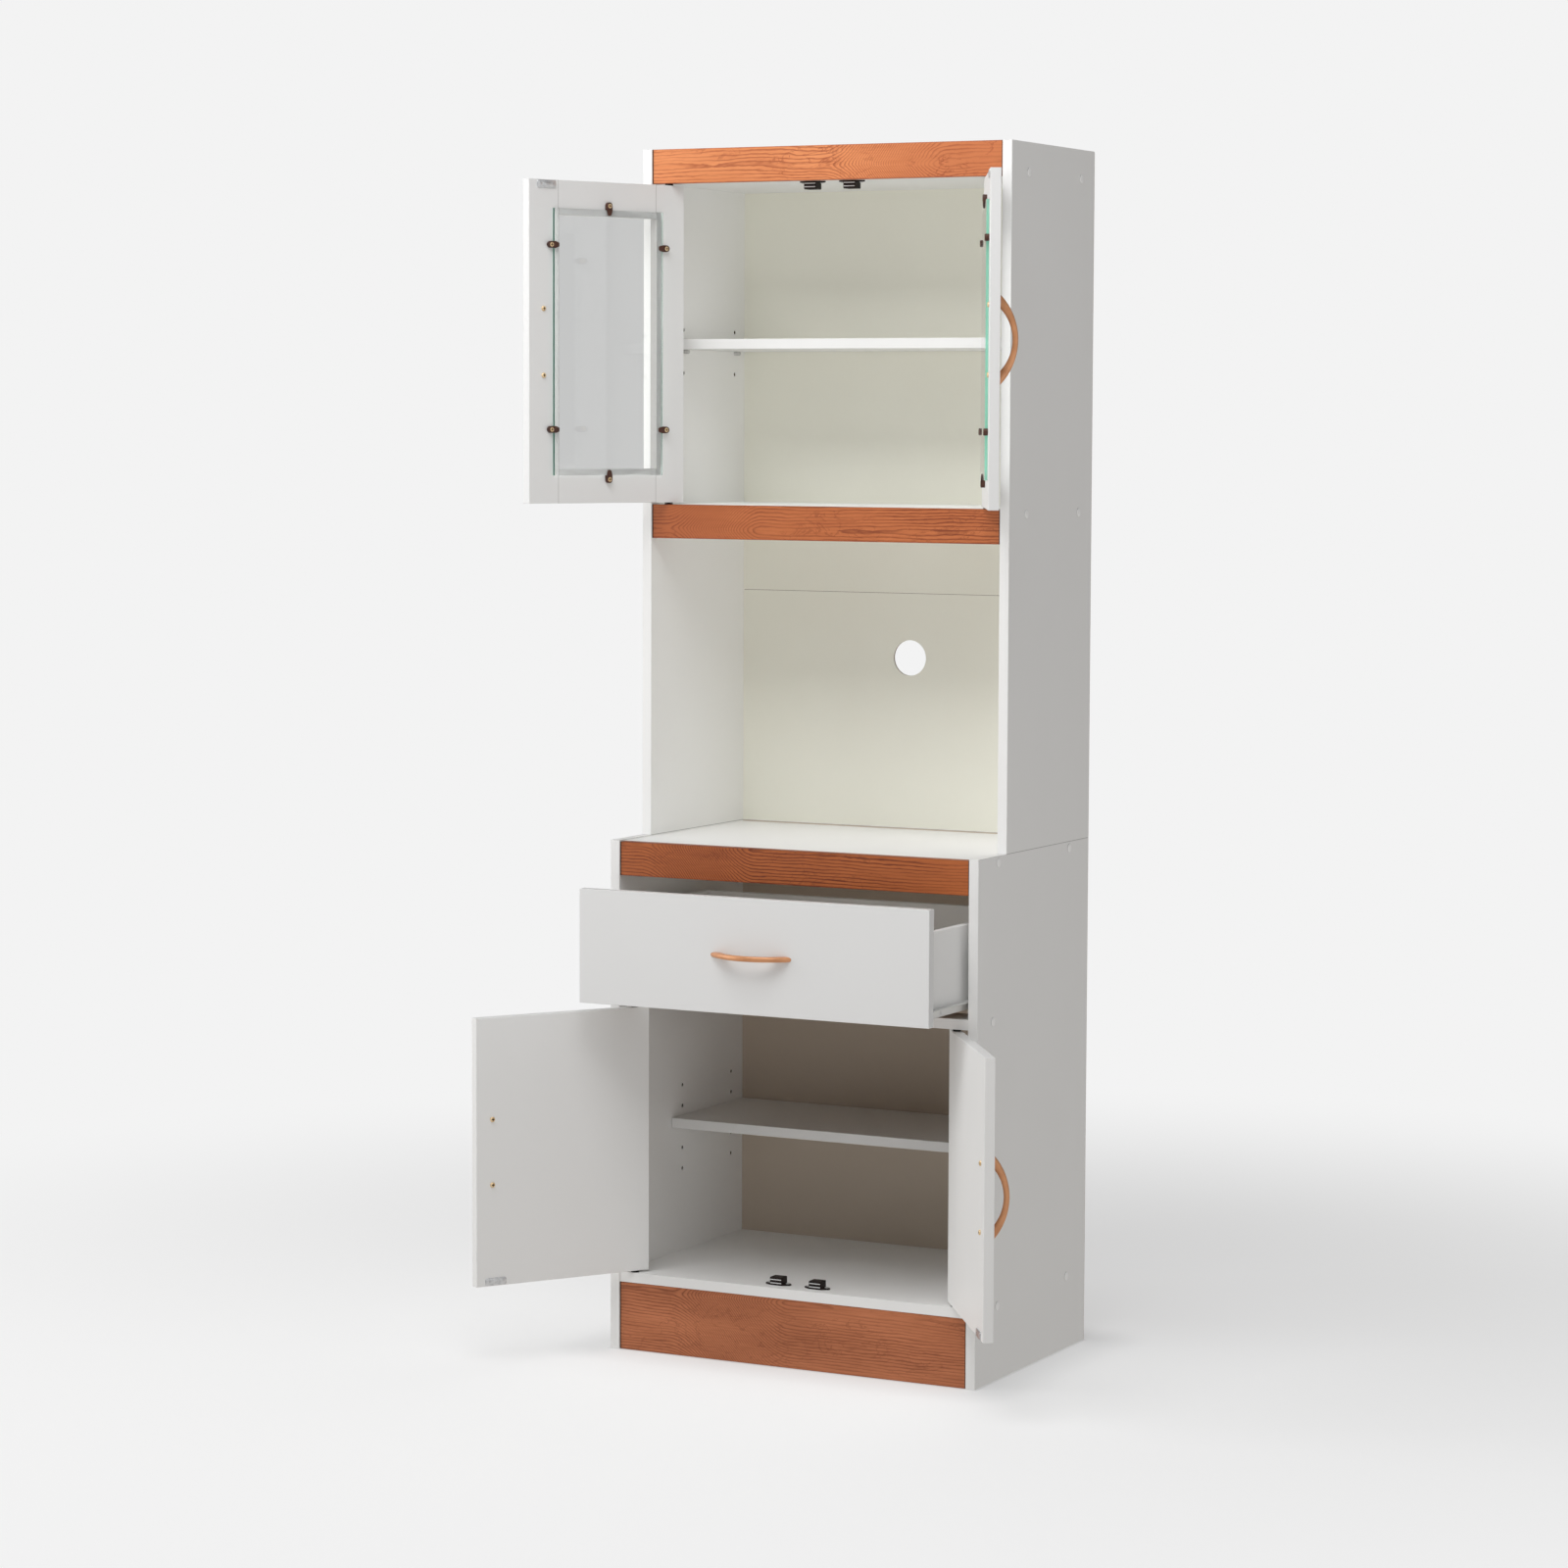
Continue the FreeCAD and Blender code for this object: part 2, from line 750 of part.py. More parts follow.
def door_rails(tools):
    left, right, low, high = frame_opening()
    front = hutch_face
    rear = hutch_face + board
    low_rail = block(left, right, front, rear, upper_door_low, low)
    high_rail = block(left, right, front, rear, high, upper_door_high)
    low_rail = eased(low_rail, edge_ease, lambda edge: edge_lies_at(edge, "z", upper_door_low))
    high_rail = eased(high_rail, edge_ease, lambda edge: edge_lies_at(edge, "z", upper_door_high))
    return group([cut_all(low_rail, tools), cut_all(high_rail, tools)])


def door_glass():
    left, right, low, high = frame_opening()
    rear = hutch_face + board
    return block(
        left - pane_lap, right + pane_lap, rear, rear + pane_thickness,
        low - pane_lap, high + pane_lap)


def solid_door(tools):
    hinge_end, free_end = door_edges()
    front = base_face
    rear = base_face + board
    door = block(hinge_end, free_end, front, rear, lower_door_low, lower_door_high)
    door = eased(door, edge_ease, lambda edge: True)
    return cut_all(door, tools)


def turn_clip():
    # local X points from the screw to the pane, local Z stands off the frame
    top = pane_thickness + clip_nose_height
    half = clip_width / 2
    nose = clip_nose_width / 2
    outline = [
        V(-clip_tail, -half + clip_corner, 0), V(-clip_tail + clip_corner, -half, 0),
        V(clip_taper_start, -half, 0), V(clip_tip, -nose, 0),
        V(clip_tip, nose, 0), V(clip_taper_start, half, 0),
        V(-clip_tail + clip_corner, half, 0), V(-clip_tail, half - clip_corner, 0)]
    clip = Part.Face(Part.makePolygon(outline + [outline[0]])).extrude(V(0, 0, top))
    clip = eased(clip, clip_edge, lambda edge: edge_lies_at(edge, "z", top))
    step = block(
        clip_from_pane - clip_seat_gap, clip_tip + through_cut, -half - through_cut,
        half + through_cut, -through_cut, pane_thickness + clip_seat_gap)
    clip = clip.cut(step)
    shaft = rod(
        clip_screw_radius + small_screw_fit, top + 2 * through_cut, V(0, 0, -through_cut), Z_AXIS)
    head = clip_screw_head(small_screw_fit)
    return clip.cut(shaft).cut(head)


def clip_screw_head(grow):
    top = pane_thickness + clip_nose_height
    low = top - clip_screw_head_length
    profile = [
        (0, top + through_cut), (clip_screw_head_radius + grow, top + through_cut),
        (clip_screw_head_radius + grow, top), (clip_screw_radius + grow, low), (0, low)]
    return turned(profile, V(0, 0, 0), Z_AXIS)


def clip_screw():
    top = pane_thickness + clip_nose_height
    low = top - clip_screw_head_length
    tip = top - clip_screw_length
    profile = [
        (0, top), (clip_screw_head_radius, top), (clip_screw_radius, low),
        (clip_screw_radius, tip + screw_point), (0, tip)]
    return turned(profile, V(0, 0, 0), Z_AXIS)


def clip_hole():
    depth = clip_screw_length - pane_thickness - clip_nose_height + screw_hole_spare
    return rod(clip_screw_radius + small_screw_fit / 2, depth, V(0, 0, 0), -Z_AXIS)


def clip_places():
    left, right, low, high = frame_opening()
    out = pane_lap + clip_from_pane
    middle = (left + right) / 2
    half_way = (low + high) / 2
    return [
        (middle, high + out, -Z_AXIS), (middle, low - out, Z_AXIS),
        (left - out, half_way + clip_upper_side, X_AXIS),
        (left - out, half_way - clip_lower_side, X_AXIS),
        (right + out, half_way + clip_upper_side, -X_AXIS),
        (right + out, half_way - clip_lower_side, -X_AXIS)]


def at_clips(shape):
    rear = hutch_face + board
    return [laid_on(shape, V(x, rear, z), along, Y_AXIS) for x, z, along in clip_places()]


# bow handle: two arcs that meet the door in flared feet
def arc_through(half_chord, rise):
    return Part.Arc(V(-half_chord, 0, 0), V(0, 0, rise), V(half_chord, 0, 0))


def bow_handle(length):
    # local X along the handle, local Y across it, local Z away from the door
    half = length / 2
    inner = handle_clear_length / 2
    outer_arc = arc_through(half, handle_reach).toShape()
    inner_arc = arc_through(inner, handle_clear_reach).toShape()
    foot_one = Part.makeLine(V(-half, 0, 0), V(-inner, 0, 0))
    foot_two = Part.makeLine(V(inner, 0, 0), V(half, 0, 0))
    outline = Part.Wire([outer_arc, foot_two, inner_arc, foot_one])
    bow = Part.Face(outline).extrude(V(0, handle_width, 0))
    bow.translate(V(0, -handle_width / 2, 0))
    long_edges = [edge for edge in bow.Edges if edge.Length > length and len(edge.Vertexes) == 2]
    bow = bow.makeFillet(handle_round, long_edges)
    for side in (-1, 1):
        start = V(side * handle_hole_spacing / 2, 0, -through_cut)
        depth = through_cut + handle_screw_bite + screw_hole_spare
        hole = rod(handle_screw_radius + handle_screw_fit, depth, start, Z_AXIS)
        bow = bow.cut(hole)
    return bow


def handle_screw(side):
    # passes through a board of the doors' thickness from its far face
    head = -board - handle_screw_head_height
    profile = [
        (0, handle_screw_bite), (handle_screw_radius, handle_screw_bite),
        (handle_screw_radius, -board), (handle_screw_head_radius, -board),
        (handle_screw_head_radius, head + screw_head_edge),
        (handle_screw_head_radius - screw_head_edge, head), (0, head)]
    return turned(profile, V(side * handle_hole_spacing / 2, 0, 0), Z_AXIS)


def handle_hole(side):
    start = V(side * handle_hole_spacing / 2, 0, -board - through_cut)
    return rod(handle_screw_radius + handle_screw_fit, board + 2 * through_cut, start, Z_AXIS)


def on_door_front(shape, face, low, high):
    free_end = door_edges()[1]
    origin = V(free_end - handle_from_edge, face, (low + high) / 2)
    return laid_on(shape, origin, Z_AXIS, -Y_AXIS)


# strike plate on the inside of a door
def strike_frame(shape, face, level):
    return laid_on(shape, V(-catch_across, face + board, level), X_AXIS, Y_AXIS)


def strike_plate():
    half = strike_width / 2
    plate = block(-half, half, -strike_height / 2, strike_height / 2, 0, strike_thickness)
    plate = eased(plate, strike_corner, lambda edge: abs(edge.Length - strike_thickness) < 1e-6)
    for side in (-1, 1):
        plate = plate.cut(strike_screw(side, small_screw_fit))
    return plate


def strike_screw(side, grow):
    top = strike_thickness
    low = top - strike_head_length
    profile = [
        (0, top + grow), (strike_head_radius + grow, top + grow), (strike_head_radius + grow, top),
        (strike_screw_radius + grow, low), (strike_screw_radius + grow, top - strike_screw_length),
        (0, top - strike_screw_length - grow)]
    if grow == 0:
        profile = [
            (0, top), (strike_head_radius, top), (strike_screw_radius, low),
            (strike_screw_radius, top - strike_screw_length + screw_point),
            (0, top - strike_screw_length)]
    return turned(profile, V(side * strike_screw_across, 0, 0), Z_AXIS)


def upper_strike_level():
    return upper_door_high - strike_from_end - strike_height / 2


def lower_strike_level():
    return lower_door_low + strike_from_end + strike_height / 2


def door_pivots(low, high, x, y):
    return group([door_pivot(-x, y, low, -Z_AXIS), door_pivot(-x, y, high, Z_AXIS)])


def door_pivot_holes(low, high, x, y):
    return [pivot_hole(-x, y, low, Z_AXIS), pivot_hole(-x, y, high, -Z_AXIS)]


def upper_door():
    level = upper_strike_level()
    tools = door_pivot_holes(upper_door_low, upper_door_high, upper_pivot_across, upper_pivot_back)
    tools += at_clips(clip_hole())
    screws = at_clips(clip_screw())
    for side in (-1, 1):
        tools.append(on_door_front(handle_hole(side), hutch_face, upper_door_low, upper_door_high))
        tools.append(strike_frame(strike_screw(side, small_screw_fit), hutch_face, level))
        screws.append(on_door_front(handle_screw(side), hutch_face, upper_door_low, upper_door_high))
        screws.append(strike_frame(strike_screw(side, 0), hutch_face, level))
    bow = bow_handle(door_handle_length)
    return {
        "stiles": door_stiles(tools),
        "rails": door_rails(tools),
        "glass": door_glass(),
        "clips": group(at_clips(turn_clip())),
        "screws": group(screws),
        "handle": on_door_front(bow, hutch_face, upper_door_low, upper_door_high),
        "strike": strike_frame(strike_plate(), hutch_face, level),
        "pivots": door_pivots(upper_door_low, upper_door_high, upper_pivot_across, upper_pivot_back)}


def lower_door():
    level = lower_strike_level()
    tools = door_pivot_holes(lower_door_low, lower_door_high, lower_pivot_across, lower_pivot_back)
    screws = []
    for side in (-1, 1):
        tools.append(on_door_front(handle_hole(side), base_face, lower_door_low, lower_door_high))
        tools.append(strike_frame(strike_screw(side, small_screw_fit), base_face, level))
        screws.append(on_door_front(handle_screw(side), base_face, lower_door_low, lower_door_high))
        screws.append(strike_frame(strike_screw(side, 0), base_face, level))
    bow = bow_handle(door_handle_length)
    return {
        "panel": solid_door(tools),
        "handle": on_door_front(bow, base_face, lower_door_low, lower_door_high),
        "screws": group(screws),
        "strike": strike_frame(strike_plate(), base_face, level),
        "pivots": door_pivots(lower_door_low, lower_door_high, lower_pivot_across, lower_pivot_back)}


# ---------------------------------------------------------------- drawer
def on_drawer_front(shape):
    return laid_on(shape, V(0, drawer_face, drawer_handle_height), X_AXIS, -Y_AXIS)


def bottom_groove():
    half = drawer_box_half - drawer_board + drawer_groove_depth
    return block(
        -half, half, drawer_rear_face - drawer_groove_depth, drawer_box_rear + through_cut,
        drawer_bottom_low - drawer_groove_fit, drawer_bottom_high + drawer_groove_fit)


def drawer_front():
    half = drawer_front_half
    front = block(
        -half, half, drawer_face, drawer_rear_face, drawer_front_low, drawer_front_high)
    front = eased(front, edge_ease, lambda edge: True)
    tools = [on_drawer_front(handle_hole(side)) for side in (-1, 1)]
    return cut_all(front.cut(bottom_groove()), tools)


def drawer_side():
    inside = drawer_box_half - drawer_board
    side = block(
        inside, drawer_box_half, drawer_rear_face, drawer_box_rear,
        drawer_side_low, drawer_side_high)
    tools = [slide_screw_hole(y) for y in slide_screw_places()]
    tools += [drawer_back_screw(z, small_screw_fit) for z in drawer_back_screw_levels()]
    return cut_all(side.cut(bottom_groove()), tools)


def drawer_back():
    inside = drawer_box_half - drawer_board
    low = drawer_bottom_high + drawer_groove_fit
    back = block(
        -inside, inside, drawer_box_rear - drawer_board, drawer_box_rear, low, drawer_side_high)
    for z in drawer_back_screw_levels():
        screw = drawer_back_screw(z, small_screw_fit)
        back = back.cut(screw).cut(mirrored(screw))
    return back


def drawer_bottom():
    half = drawer_box_half - drawer_board + drawer_groove_depth - drawer_bottom_end_gap
    front = drawer_rear_face - drawer_groove_depth + drawer_bottom_end_gap
    return block(-half, half, front, drawer_box_rear, drawer_bottom_low, drawer_bottom_high)


def drawer_back_screw_levels():
    low = drawer_bottom_high + drawer_back_screw_inset
    return [low, drawer_side_high - drawer_back_screw_inset]


def drawer_back_screw(z, grow):
    # countersunk in the drawer side's outer face, into the end of the drawer back
    reach = through_cut if grow > 0 else 0
    profile = [
        (0, reach), (drawer_back_screw_head_radius + grow, reach),
        (drawer_back_screw_head_radius + grow, 0),
        (drawer_back_screw_radius + grow, -drawer_back_screw_head_length),
        (drawer_back_screw_radius + grow, -drawer_back_screw_length),
        (0, -drawer_back_screw_length - grow)]
    if grow == 0:
        profile = [
            (0, 0), (drawer_back_screw_head_radius, 0),
            (drawer_back_screw_radius, -drawer_back_screw_head_length),
            (drawer_back_screw_radius, -drawer_back_screw_length + screw_point),
            (0, -drawer_back_screw_length)]
    start = V(drawer_box_half, drawer_box_rear - drawer_board / 2, z)
    return turned(profile, start, X_AXIS)


# ---------------------------------------------------------------- runners and rollers
def extruded_profile(outline, front, rear):
    points = [V(x, front, z) for x, z in outline]
    face = Part.Face(Part.makePolygon(points + [points[0]]))
    return face.extrude(V(0, rear - front, 0))


def axle(web_face, direction, roller_start, y, z):
    # rivet in a steel web: shoulder, journal for the roller, and a thin head past it
    journal_end = roller_start + roller_width + roller_side_gap
    shoulder = roller_start - roller_side_gap
    profile = [
        (0, -steel / 2), (axle_shoulder_radius, -steel / 2), (axle_shoulder_radius, shoulder),
        (axle_radius, shoulder), (axle_radius, journal_end), (axle_head_radius, journal_end),
        (axle_head_radius, journal_end + axle_head_thickness), (0, journal_end + axle_head_thickness)]
    return turned(profile, V(web_face, y, z), direction)


def roller(web_face, direction, roller_start, y, z):
    bore = axle_radius + axle_running_fit
    end = roller_start + roller_width
    rim = roller_radius - roller_edge
    profile = [
        (bore, roller_start), (rim, roller_start), (roller_radius, roller_start + roller_edge),
        (roller_radius, end - roller_edge), (rim, end), (bore, end)]
    return turned(profile, V(web_face, y, z), direction)


def cabinet_runner():
    # channel open towards the drawer, screwed to the side board
    wide = inner_half - steel - runner_lower_reach
    narrow = inner_half - steel - runner_upper_reach
    outline = [
        (inner_half, runner_low), (inner_half, runner_high), (narrow, runner_high),
        (narrow, runner_high - steel), (runner_web_in, runner_high - steel),
        (runner_web_in, runner_low + steel), (wide, runner_low + steel), (wide, runner_low)]
    channel = extruded_profile(outline, runner_front, runner_rear)
    rivet = axle(runner_web_in, -X_AXIS, front_roller_from_web, front_roller_y, front_roller_z)
    runner = channel.fuse(rivet)
    for y in runner_screw_places():
        runner = runner.cut(runner_screw_hole(y))
    return runner


def runner_screw_places():
    front = runner_front + runner_screw_front
    rear = runner_rear - runner_screw_rear
    return [front, (front + rear) / 2, rear]


def runner_screw(y):
    length = runner_screw_length
    head = -runner_screw_head_height
    profile = [
        (0, head), (runner_screw_head_radius, head), (runner_screw_head_radius, 0),
        (runner_screw_radius, 0), (runner_screw_radius, length - screw_point), (0, length)]
    return turned(profile, V(runner_web_in, y, runner_low + runner_screw_level), X_AXIS)


def runner_screw_hole(y):
    start = V(runner_web_in - through_cut, y, runner_low + runner_screw_level)
    length = through_cut + runner_screw_length + screw_hole_spare
    return rod(runner_screw_radius + small_screw_fit, length, start, X_AXIS)


def drawer_slide():
    # folded strip on the drawer side: lip under it, web beside it, flange that rides the roller
    lip = drawer_box_half - slide_lip
    reach = slide_web_out + slide_reach
    outline = [
        (lip, slide_low), (slide_web_out, slide_low), (slide_web_out, slide_high - steel),
        (reach, slide_high - steel), (reach, slide_high), (drawer_box_half, slide_high),
        (drawer_box_half, slide_low + steel), (lip, slide_low + steel)]
    strip = extruded_profile(outline, drawer_rear_face, drawer_box_rear)
    rivet = axle(slide_web_out, X_AXIS, rear_roller_from_web, rear_roller_y, rear_roller_z)
    slide = strip.fuse(rivet)
    for y in slide_screw_places():
        slide = slide.cut(slide_screw_hole(y))
    return slide


def slide_screw_places():
    front = drawer_rear_face + slide_screw_front
    rear = drawer_box_rear - slide_screw_rear
    return [front, (front + rear) / 2, rear]


def slide_screw(y):
    # pan head on the web, point in the drawer side
    head = runner_screw_head_height
    length = slide_screw_length
    profile = [
        (0, head), (runner_screw_head_radius, head), (runner_screw_head_radius, 0),
        (runner_screw_radius, 0), (runner_screw_radius, -length + screw_point), (0, -length)]
    return turned(profile, V(slide_web_out, y, slide_low + slide_screw_level), X_AXIS)


def slide_screw_hole(y):
    start = V(slide_web_out + through_cut, y, slide_low + slide_screw_level)
    length = through_cut + slide_screw_length + screw_hole_spare
    return rod(runner_screw_radius + small_screw_fit, length, start, -X_AXIS)


def drawer_screws():
    screws = [on_drawer_front(handle_screw(side)) for side in (-1, 1)]
    for y in slide_screw_places():
        screws += both_sides(slide_screw(y))
    for z in drawer_back_screw_levels():
        screws += both_sides(drawer_back_screw(z, 0))
    return group(screws)


# ---------------------------------------------------------------- groups of like pieces
def cabinet_screws():
    hutch, base = panel_screw_places()
    screws = []
    for y, z in hutch + base:
        screws += both_sides(panel_screw(y, z))
    screws += catch_group([catch_screw(-1), catch_screw(1)])
    for y in runner_screw_places():
        screws += both_sides(runner_screw(y))
    return group(screws)


def screw_caps():
    hutch, base = panel_screw_places()
    caps = []
    for y, z in hutch + base:
        caps += both_sides(screw_cap(y, z))
    return group(caps)


def dowels():
    hutch, base = side_dowel_places()
    pegs = []
    for y, z in hutch + base:
        pegs += both_sides(side_dowel(y, z))
    for y in standing_dowel_places():
        pegs += both_sides(standing_dowel(y))
    return group(pegs)


def shelf_pins():
    pins = []
    shelf_places = (
        (upper_shelf_underside, upper_pin_rear), (lower_shelf_underside, lower_pin_rear))
    for underside, rear in shelf_places:
        for distance in (rear, pin_front):
            pins += both_sides(shelf_pin(underside, distance))
    return group(pins)


def all_nodes():
    nodes = {}
    right_base = base_side()
    right_hutch = hutch_side()
    nodes["base_side_right"] = right_base
    nodes["base_side_left"] = mirrored(right_base)
    nodes["hutch_side_right"] = right_hutch
    nodes["hutch_side_left"] = mirrored(right_hutch)
    nodes["base_top_panel"] = base_top_panel()
    nodes["base_strip"] = base_strip()
    nodes["drawer_rail"] = drawer_rail()
    nodes["base_floor"] = base_floor()
    nodes["plinth"] = plinth()
    nodes["hutch_top_panel"] = hutch_top_panel()
    nodes["top_strip"] = top_strip()
    nodes["middle_panel"] = middle_panel()
    nodes["middle_strip"] = middle_strip()
    seam = back_seam_gap / 2
    nodes["base_back"] = back_sheet(0, base_height - seam)
    lower_back = back_sheet(base_height + seam, back_seam_height - seam)
    nodes["hutch_back_lower"] = lower_back.cut(cable_hole())
    nodes["hutch_back_upper"] = back_sheet(back_seam_height + seam, total_height - back_inset)
    nodes["shelves"] = group([shelf(upper_shelf_underside), shelf(lower_shelf_underside)])
    nodes["shelf_pins"] = shelf_pins()
    nodes["cabinet_screws"] = cabinet_screws()
    nodes["screw_caps"] = screw_caps()
    nodes["dowels"] = dowels()
    nodes["hinge_bushes"] = hinge_bushes()
    nodes["catch_housings"] = group(catch_group([catch_housing()]))
    plates = [catch_plate(catch_plate_level_one, 0), catch_plate(catch_plate_level_two, 0)]
    nodes["catch_plates"] = group(catch_group(plates))
    nodes["cabinet_runners"] = group(both_sides(cabinet_runner()))
    front_roller = roller(
        runner_web_in, -X_AXIS, front_roller_from_web, front_roller_y, front_roller_z)
    nodes["cabinet_rollers"] = group(both_sides(front_roller))

    for side, word, angle in ((-1, "left", upper_left_angle), (1, "right", upper_right_angle)):
        for piece, shape in upper_door().items():
            name = "upper_" + word + "_door_" + piece
            nodes[name] = swing(shape, side, angle, upper_pivot_across, upper_pivot_back)
    for side, word, angle in ((-1, "left", lower_left_angle), (1, "right", lower_right_angle)):
        for piece, shape in lower_door().items():
            name = "lower_" + word + "_door_" + piece
            nodes[name] = swing(shape, side, angle, lower_pivot_across, lower_pivot_back)

    nodes["drawer_front"] = drawer_front()
    nodes["drawer_sides"] = group(both_sides(drawer_side()))
    nodes["drawer_back"] = drawer_back()
    nodes["drawer_bottom"] = drawer_bottom()
    nodes["drawer_runners"] = group(both_sides(drawer_slide()))
    nodes["drawer_handle"] = on_drawer_front(bow_handle(drawer_handle_length))
    nodes["drawer_screws"] = drawer_screws()
    rear_roller = roller(
        slide_web_out, X_AXIS, rear_roller_from_web, rear_roller_y, rear_roller_z)
    nodes["drawer_rollers"] = group(both_sides(rear_roller))
    return nodes


os.makedirs("parts", exist_ok=True)
for node_name, node_shape in all_nodes().items():
    node_shape.exportStep("parts/" + node_name + ".step")
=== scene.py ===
import math

import bmesh
import bpy
from mathutils import Matrix, Vector


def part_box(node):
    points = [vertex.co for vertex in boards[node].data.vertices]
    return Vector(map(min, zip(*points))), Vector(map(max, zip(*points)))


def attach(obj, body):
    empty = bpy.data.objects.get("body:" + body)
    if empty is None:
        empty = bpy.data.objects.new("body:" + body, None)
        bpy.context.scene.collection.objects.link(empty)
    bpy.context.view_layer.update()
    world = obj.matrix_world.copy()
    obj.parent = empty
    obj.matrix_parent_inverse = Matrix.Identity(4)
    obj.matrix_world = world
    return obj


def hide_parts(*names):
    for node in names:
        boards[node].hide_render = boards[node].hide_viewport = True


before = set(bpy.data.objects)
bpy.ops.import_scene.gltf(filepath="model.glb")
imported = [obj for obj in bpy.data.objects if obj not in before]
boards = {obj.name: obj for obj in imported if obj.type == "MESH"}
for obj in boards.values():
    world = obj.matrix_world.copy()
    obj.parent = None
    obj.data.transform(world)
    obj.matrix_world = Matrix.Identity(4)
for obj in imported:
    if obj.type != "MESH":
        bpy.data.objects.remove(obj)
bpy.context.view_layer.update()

scene = bpy.context.scene
X, Y, Z = Vector((1, 0, 0)), Vector((0, 1, 0)), Vector((0, 0, 1))

# ------------------------------------------------------------------ sizes of the unit, in mm
MM = 0.001
BOARD = 15.0
OUTER_HALF, INNER_HALF = 300.0, 285.0
# front faces: the closed glazed doors, the closed solid doors, and the drawer as photographed
HUTCH_FACE, BASE_FACE, DRAWER_FACE = -290.0, -384.0, -507.0
# the glazed and the solid doors from foot to head
UPPER_LOW, UPPER_HIGH = 1256.0, 1722.0
LOWER_LOW, LOWER_HIGH = 119.0, 513.0
# a closed left door: its free end and the opening in its frame
FREE_END = -1.5
OPENING_LEFT, OPENING_RIGHT = -231.0, -53.5
OPENING_LOW, OPENING_HIGH = 1306.0, 1672.0
# the pivots' distance from the middle, and how far each door stands open in degrees
UPPER_PIVOT, LOWER_PIVOT = 261.0, 263.5
UPPER_LEFT_SWING, UPPER_RIGHT_SWING = 113.0, 117.0
LOWER_LEFT_SWING, LOWER_RIGHT_SWING = 123.0, 125.5
# a door's handle: distance from the free end, half the screws' spacing
HANDLE_INSET, HANDLE_SCREW = 25.5, 48.0
# half a bow's span on a door and on the drawer, and the height of the drawer's bow
DOOR_BOW, DRAWER_BOW, DRAWER_BOW_LEVEL = 62.5, 65.0, 616.8
# a bow's reach, half its clear span, its clear reach and its width
BOW = (25.5, 43.0, 17.4, 8.0)
# the pane's lap on its frame and the distance of a clip's screw from the pane's edge
PANE_LAP, CLIP_OUT = 9.5, 6.0
# how far the side clips lie over and under the middle of the opening
CLIP_ABOVE, CLIP_BELOW = 140.0, 126.0
# catches: distance from the middle, then height and front of the upper and the lower pairs
CATCH_ACROSS = 32.0
UPPER_CATCH, LOWER_CATCH = (1725.0, -273.2), (116.0, -367.2)
# strike plates: distance from the door's edge, half the screws' spacing
STRIKE_INSET, STRIKE_SCREW = 6.5, 11.0
# cover caps on either outer side, as (y, z)
CAPS = (
    (-233, 1732.5), (-49, 1732.5), (-233, 1245.5), (-49, 1245.5), (-319, 750.5), (-72, 750.5),
    (-334, 523.5), (-312, 108.5), (-69, 108.5))

# ------------------------------------------------------------------ tones, in linear light
WHITE, WHITE_SHADE = (0.890, 0.891, 0.884), (0.872, 0.872, 0.864)
# painted shade: the shelves, the glazed doors' frames and the drawer front are the same white melamine
# as the boards, toned darker so that they show dimmer, as if less light fell on them
DIMMED_SHELF_WHITE, DIMMED_SHELF_SHADE = (0.815, 0.816, 0.809), (0.798, 0.799, 0.792)
DIMMED_DOOR_WHITE, DIMMED_DOOR_SHADE = (0.772, 0.775, 0.774), (0.754, 0.756, 0.754)
BACKDROP = 0.896


# ------------------------------------------------------------------ finishes
class Amount:
    """One value in a tree of nodes. Sums written with it become Math nodes."""

    def __init__(self, wiring, socket):
        self.wiring, self.socket = wiring, socket

    def maths(self, operation, *values):
        return self.wiring.node("ShaderNodeMath", {"operation": operation}, dict(enumerate(values)))

    def __add__(self, other):
        return self.maths("ADD", self, other)

    def __radd__(self, other):
        return self.maths("ADD", other, self)

    def __sub__(self, other):
        return self.maths("SUBTRACT", self, other)

    def __rsub__(self, other):
        return self.maths("SUBTRACT", other, self)

    def __mul__(self, other):
        return self.maths("MULTIPLY", self, other)

    def __rmul__(self, other):
        return self.maths("MULTIPLY", other, self)

    def __abs__(self):
        return self.maths("ABSOLUTE", self)

    def root(self):
        return self.maths("SQRT", self)

    def fraction(self):
        return self.maths("FRACT", self)

    def wave(self):
        return self.maths("SINE", self)

    def at_least(self, low):
        return self.maths("MAXIMUM", self, low)

    def between(self, low, high):
        """0 below low, 1 above high, smooth in between."""
        settings = {"interpolation_type": "SMOOTHSTEP"}
        inputs = {"Value": self, "From Min": low, "From Max": high}
        return self.wiring.node("ShaderNodeMapRange", settings, inputs)


class Wiring:
    """The nodes of a material or a world, which end in its output."""

    def __init__(self, owner, output):
        owner.use_nodes = True
        self.tree = owner.node_tree
        self.tree.nodes.clear()
        self.end = self.tree.nodes.new(output)

    def feed(self, socket, value):
        if isinstance(value, Amount):
            self.tree.links.new(value.socket, socket)
        elif isinstance(value, (tuple, list, Vector)) and socket.type == "RGBA":
            socket.default_value = (*value[:3], 1)
        else:
            socket.default_value = value

    def node(self, kind, settings=None, inputs=None, output=0):
        node = self.tree.nodes.new(kind)
        for name, value in (settings or {}).items():
            if name == "stops":
                stops = node.color_ramp.elements
                stops.remove(stops[1])
                stops[0].position, stops[0].color = value[0][0], (*value[0][1], 1)
                for place, colour in value[1:]:
                    stops.new(place).color = (*colour, 1)
            else:
                setattr(node, name, value)
        for name, value in (inputs or {}).items():
            self.feed(node.inputs[name], value)
        return Amount(self, node.outputs[output])

    def shared(self, share, first, second):
        """The first shader where the share is 0, the second where it is 1."""
        return self.node("ShaderNodeMixShader", None, {0: share, 1: first, 2: second})

    def surface(self, shader):
        self.feed(self.end.inputs["Surface"], shader)


